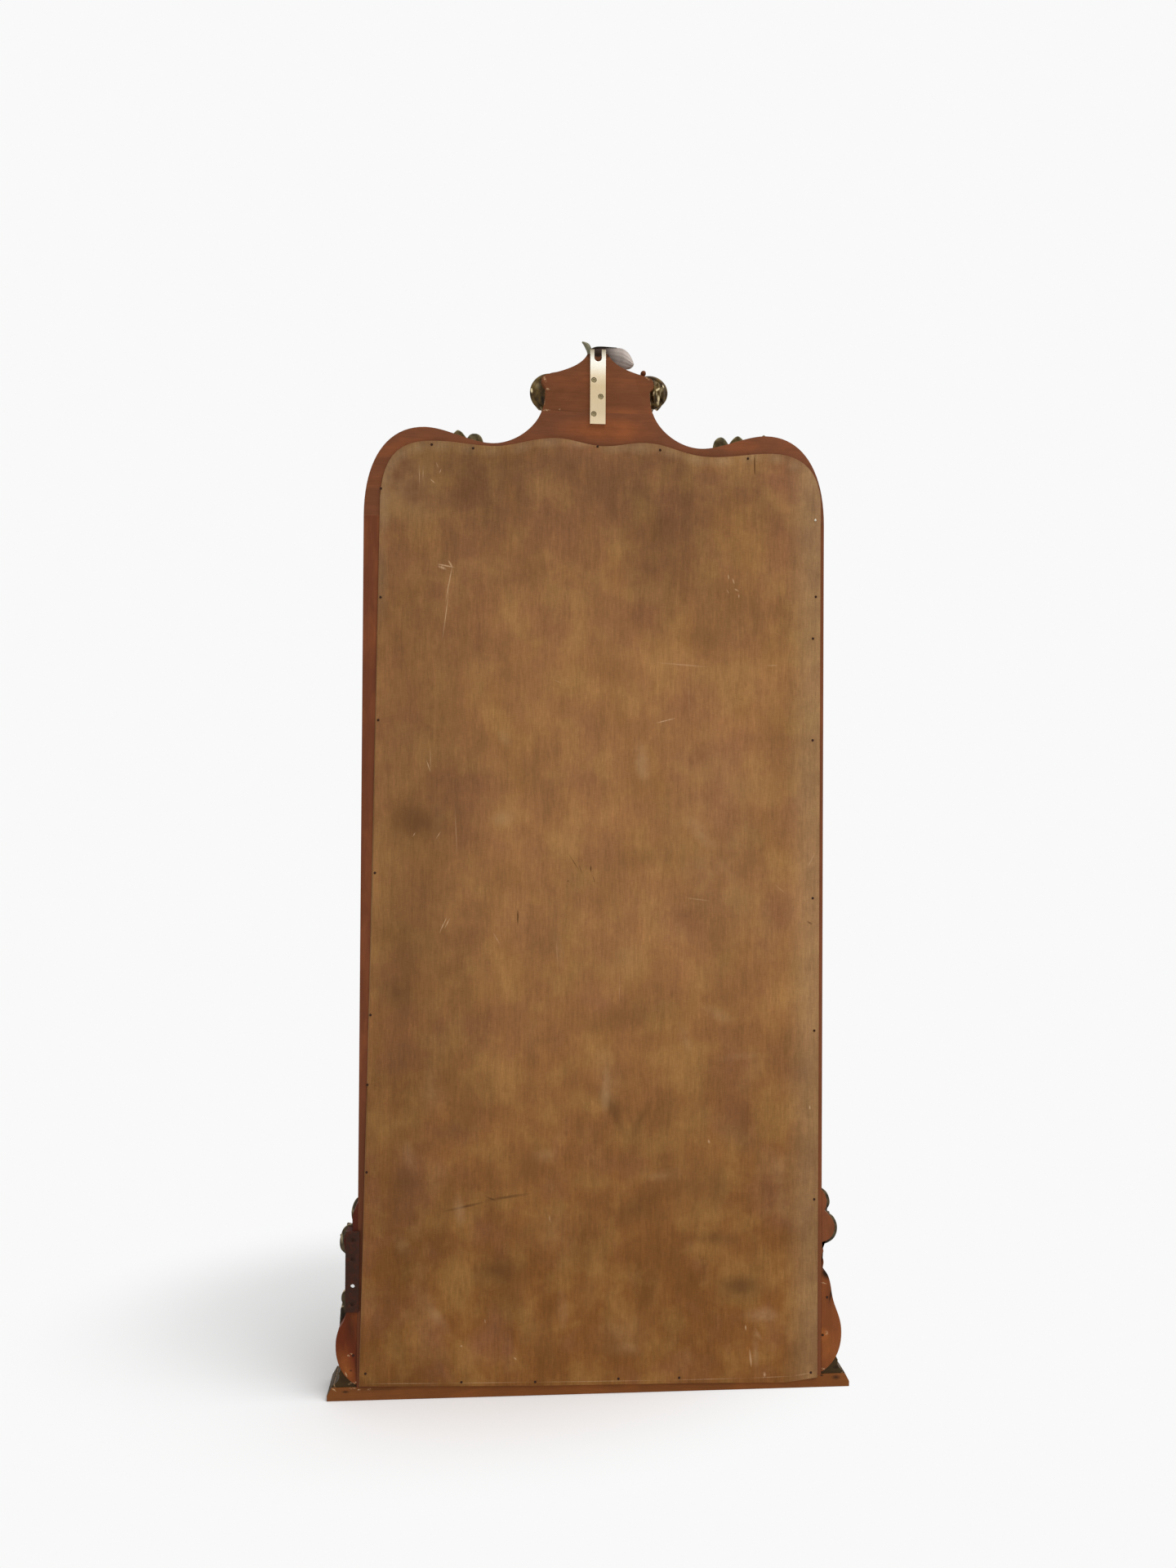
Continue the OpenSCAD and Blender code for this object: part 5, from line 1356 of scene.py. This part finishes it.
class CarveEars(bpy.types.Operator):
    """Ears on both sides: leaves that fan out from the edge of the frame"""

    bl_idname = "mirror.carve_ears"
    bl_label = "Ear carving"

    def execute(self, context):
        # Each outline runs from the top down.
        outlines = {
            "right": ((369.2, 309), (374.5, 306.5), (379, 300), (382.6, 289), (382.8, 279),
                      (381.2, 267.5), (389, 264), (395.8, 258), (400, 246), (401, 237),
                      (399.6, 228), (395, 222), (388, 217), (376, 213.5), (369.2, 212)),
            "left": ((369.2, 313), (376, 311), (382, 307), (386.5, 302), (390.2, 293), (390.6, 284),
                     (386.6, 275), (391.4, 268), (397, 263.5), (402, 254), (403.4, 246), (402, 236),
                     (395.6, 226), (382, 219), (369.2, 217)),
        }
        carve_pair("ear", "ear", self.ear, outlines, context.scene.mirror_gilding.grain,
                   water_gilding(context, "gilded_ears", back=EDGE_BACK), CARCASS_T)
        return {"FINISHED"}

    def ear(self, outline):
        """Leaves fan out over a thin back, from an eye on the frame to the outline's lobes."""
        edge = [tuple(p) for p in through(outline, 70)]
        parts = [shape("ear", edge, CARCASS_T - 1, CARCASS_T + 8, 3.0)]
        root = HALF_W - 2
        middle = max(outline)[1] + 2
        lobes = [p for p in outline[2:-2] if p[1] < middle + 27]
        for x, z in lobes[::2]:
            spine = [(mix(root, x, across), mix(middle, z, up), d) for across, up, d in
                     ((0, 0.15, 34), (0.4, 0.4, 44), (0.75, 0.75, 43), (0.96, 0.96, 36))]
            parts.append(leaf(spine, 7.5, 1, 3.0, 4, 0.2, 1.2))
        for lift, reach in ((34, 8), (44, 12), (54, 9)):
            parts.append(bead(HALF_W + reach * 0.4, middle + lift, CARCASS_T + 7, 1,
                              (reach * 0.75, 6, 5)))
        parts.append(rod([(371, middle - 22, 32), (374, middle, 38), (373, middle + 26, 37),
                          (371, middle + 44, 35), (371, middle + 60, 32)], [3.5, 6, 4.5, 4.5, 2.5]))
        parts.append(bead(374, middle, 43, 6.5))
        # Below the ear, small scallops run down the edge of the frame.
        for drop, swell in ((34, 3.0), (44, 3.6), (55, 2.6)):
            parts.append(bead(HALF_W - 0.5, middle - drop, CARCASS_T + 4, 1, (swell, 6.5, 5)))
        return parts


class CarveFeet(bpy.types.Operator):
    """Consoles at both lower corners: a scroll with a stem, an eye and a spray of leaves"""

    bl_idname = "mirror.carve_feet"
    bl_label = "Foot carving"

    def execute(self, context):
        # The outer edge above the belly, from the top down, as (x, z).
        edges = {
            "left": ((371, 177), (377, 175.5), (383, 172), (388.2, 167), (391.6, 157), (393.4, 144),
                     (396, 130), (400.5, 110)),
            "right": ((378, 161), (386, 162.5), (393, 160), (397, 155), (397.4, 146), (394, 139.5),
                      (393.6, 136), (398.4, 133.5), (398.8, 121), (400, 108)),
        }
        carve_pair("foot", "foot_scroll", self.foot, edges, context.scene.mirror_gilding.grain,
                   water_gilding(context, "gilded_feet", back=EDGE_BACK), CARCASS_T - 0.2, 0.45)
        return {"FINISHED"}

    def foot(self, edge):
        """A stem falls along the edge to a scroll with an eye, and leaves rise beside it."""
        belly = ((403, 86), (403, 56), (390, 36), (372, 25))
        outline = [(HALF_W, edge[0][1])] + [tuple(p) for p in through(edge, 36)]
        outline += [tuple(bezier(belly, i / 14)) for i in range(15)]
        outline += [(HALF_W, 25), (HALF_W, PLINTH_H), (300, PLINTH_H), (300, MOULDING_FOOT),
                    (HALF_W, MOULDING_FOOT)]
        parts = [shape("foot", outline, CARCASS_T - 1, CARCASS_T + 12, 1.6)]
        top_x, top_z = edge[2]
        stem = [bezier(((top_x - 4, top_z - 8), (top_x, top_z - 26), (395, 122), (394, 90)), t / 5)
                for t in range(6)]
        parts.append(rod([(p.x, p.y, 40) for p in stem], taper(5.0, 7.6, 6)))
        eye_x, eye_z = 366, 86
        turns = spiral(eye_x, eye_z, 28, 8, 0, -1.6, 42, 48, 50)
        parts.append(rod(turns, taper(7.6, 3.6, len(turns), 0.5)))
        parts.append(bead(eye_x, eye_z, 46, 8))
        for x, tip_x, tip_z in ((314, 306, 158), (330, 330, 168), (346, 352, 160)):
            parts.append(leaf(((mix(x, 330, 0.6), 58, 40), (x, 88, 54), (tip_x, tip_z - 32, 54),
                               (tip_x, tip_z, 42)), 11, 4, 4, 3.4))
        parts.append(leaf(((362, 118, 42), (370, 134, 54), (372, 152, 52), (366, 172, 42)),
                          9, 3, 3.5, 3.2))
        parts.append(bead(330, 58, 42, 9, (1.6, 0.8, 0.7)))
        return parts


class SetStage(bpy.types.Operator):
    """Pale floor and backdrop, one wide soft light and the camera of the photograph"""

    bl_idname = "mirror.set_stage"
    bl_label = "Stage"

    def execute(self, context):
        stage = context.scene.mirror_stage
        scene = context.scene
        scene.view_settings.view_transform = "Standard"
        bpy.ops.object.select_all(action="DESELECT")
        # The floor lies a hair below the plinth.
        bpy.ops.mesh.primitive_plane_add(size=16, location=(0, 0, -0.2 * MM))
        floor = bpy.context.object
        floor.name = "studio_floor"
        floor.data.transform(Matrix.Translation(floor.location))
        floor.location = (0, 0, 0)
        floor.data.materials.append(self.floor_paint(stage.backdrop))
        scene.world = bpy.data.worlds.new("studio_room")
        scene.world.use_nodes = True
        tree = scene.world.node_tree
        tree.nodes.clear()
        level = add(tree, "MapRange", {"Value": self.seen_by_camera(tree), "To Min": stage.ambient,
                                       "To Max": stage.backdrop})
        room = add(tree, "Background", {"Color": (1, 1, 1, 1), "Strength": level})
        add(tree, "OutputWorld", {"Surface": room})
        lamp = bpy.data.lights.new("soft_light", "SUN")
        lamp.energy = stage.light
        lamp.angle = stage.softness
        light = put("soft_light", lamp)
        light.location = (-0.9, 0.76, 2.0)
        light.rotation_euler = (-light.location).to_track_quat("-Z", "Y").to_euler()
        scene.camera = self.camera(stage.lens)
        return {"FINISHED"}

    def seen_by_camera(self, tree):
        """1 for what the camera sees, directly or in metal and glass."""
        rays = add(tree, "LightPath").node.outputs
        seen = add(tree, "Math", {0: rays["Is Camera Ray"], 1: rays["Is Glossy Ray"]},
                   operation="MAXIMUM")
        return add(tree, "Math", {0: seen, 1: rays["Is Transmission Ray"]}, operation="MAXIMUM")

    def floor_paint(self, backdrop):
        """Matt white paint, which fades into the backdrop beyond the soft shadow of the mirror."""
        made, tree, where = new_material("matt_floor_paint")
        # The shadow falls to the right and forwards, over about 1.6 by 1.2 m.
        near = add(tree, "Mapping", {"Vector": where, "Location": (0.25, -0.26, 0),
                                     "Scale": (0.8, 0.62, 1)}, vector_type="TEXTURE")
        far = add(tree, "VectorMath", {0: near}, operation="LENGTH", out="Value")
        fade = add(tree, "MapRange", {"Value": far, "From Min": 0.5, "From Max": 1.0},
                   interpolation_type="SMOOTHSTEP")
        fade = add(tree, "Math", {0: fade, 1: self.seen_by_camera(tree)}, operation="MULTIPLY")
        paint = add(tree, "BsdfDiffuse", {"Color": (0.92, 0.92, 0.92, 1)})
        plain = add(tree, "Emission", {"Color": (1, 1, 1, 1), "Strength": backdrop})
        surface = add(tree, "MixShader", {0: fade, 1: paint, 2: plain})
        add(tree, "OutputMaterial", {"Surface": surface})
        return made

    def camera(self, lens):
        """The camera of the photograph, worked out from points that match on the two sides."""
        data = bpy.data.cameras.new("photo_camera")
        data.sensor_width = 36
        data.lens = lens
        camera = put("photo_camera", data)
        yaw, pitch, roll = (math.radians(a) for a in (4.4468, -0.7959, -0.3343))
        turn = (Matrix.Rotation(roll, 3, "Z") @ Matrix.Rotation(pitch, 3, "X")
                @ Matrix.Rotation(yaw, 3, "Y"))
        # The rows are the camera's right, up and back axes; right, up and towards in the photograph
        # are -X, +Z and +Y of the frame.
        axes = [Vector((-row[0], row[2], row[1])) for row in turn]
        camera.matrix_world = Matrix.Translation((0.1737, BACK_Y + 2.0797, 0.9387)) @ Matrix(
            axes).transposed().to_4x4()
        return camera


class MirrorPanel(bpy.types.Panel):
    """Lists the steps that build the mirror, with their settings"""

    bl_idname = "VIEW3D_PT_mirror"
    bl_label = "Gilt wall mirror"
    bl_space_type = "VIEW_3D"
    bl_region_type = "UI"
    bl_category = "Mirror"

    def draw(self, context):
        for step in STEPS:
            self.layout.operator(step.bl_idname)
        for group in (context.scene.mirror_carcass, context.scene.mirror_gilding,
                      context.scene.mirror_hardware, context.scene.mirror_stage):
            box = self.layout.box()
            for name in group.__annotations__:
                box.prop(group, name)


GROUPS = {
    "mirror_carcass": CarcassSettings,
    "mirror_gilding": GildingSettings,
    "mirror_hardware": HardwareSettings,
    "mirror_stage": StageSettings,
}
STEPS = (BuildCarcass, BuildBackboard, FitPlates, BuildPlinth, RunMouldings, CarveCrest,
         CarveShoulders, CarveEars, CarveFeet, SetStage)


def register():
    for group in (*GROUPS.values(), *STEPS, MirrorPanel):
        bpy.utils.register_class(group)
    for name, group in GROUPS.items():
        setattr(bpy.types.Scene, name, PointerProperty(type=group))


def unregister():
    for name in GROUPS:
        delattr(bpy.types.Scene, name)
    for group in (MirrorPanel, *reversed(STEPS), *GROUPS.values()):
        bpy.utils.unregister_class(group)


def main():
    register()
    for step in STEPS:
        space, name = step.bl_idname.split(".")
        getattr(getattr(bpy.ops, space), name)()


if __name__ == "__main__":
    main()
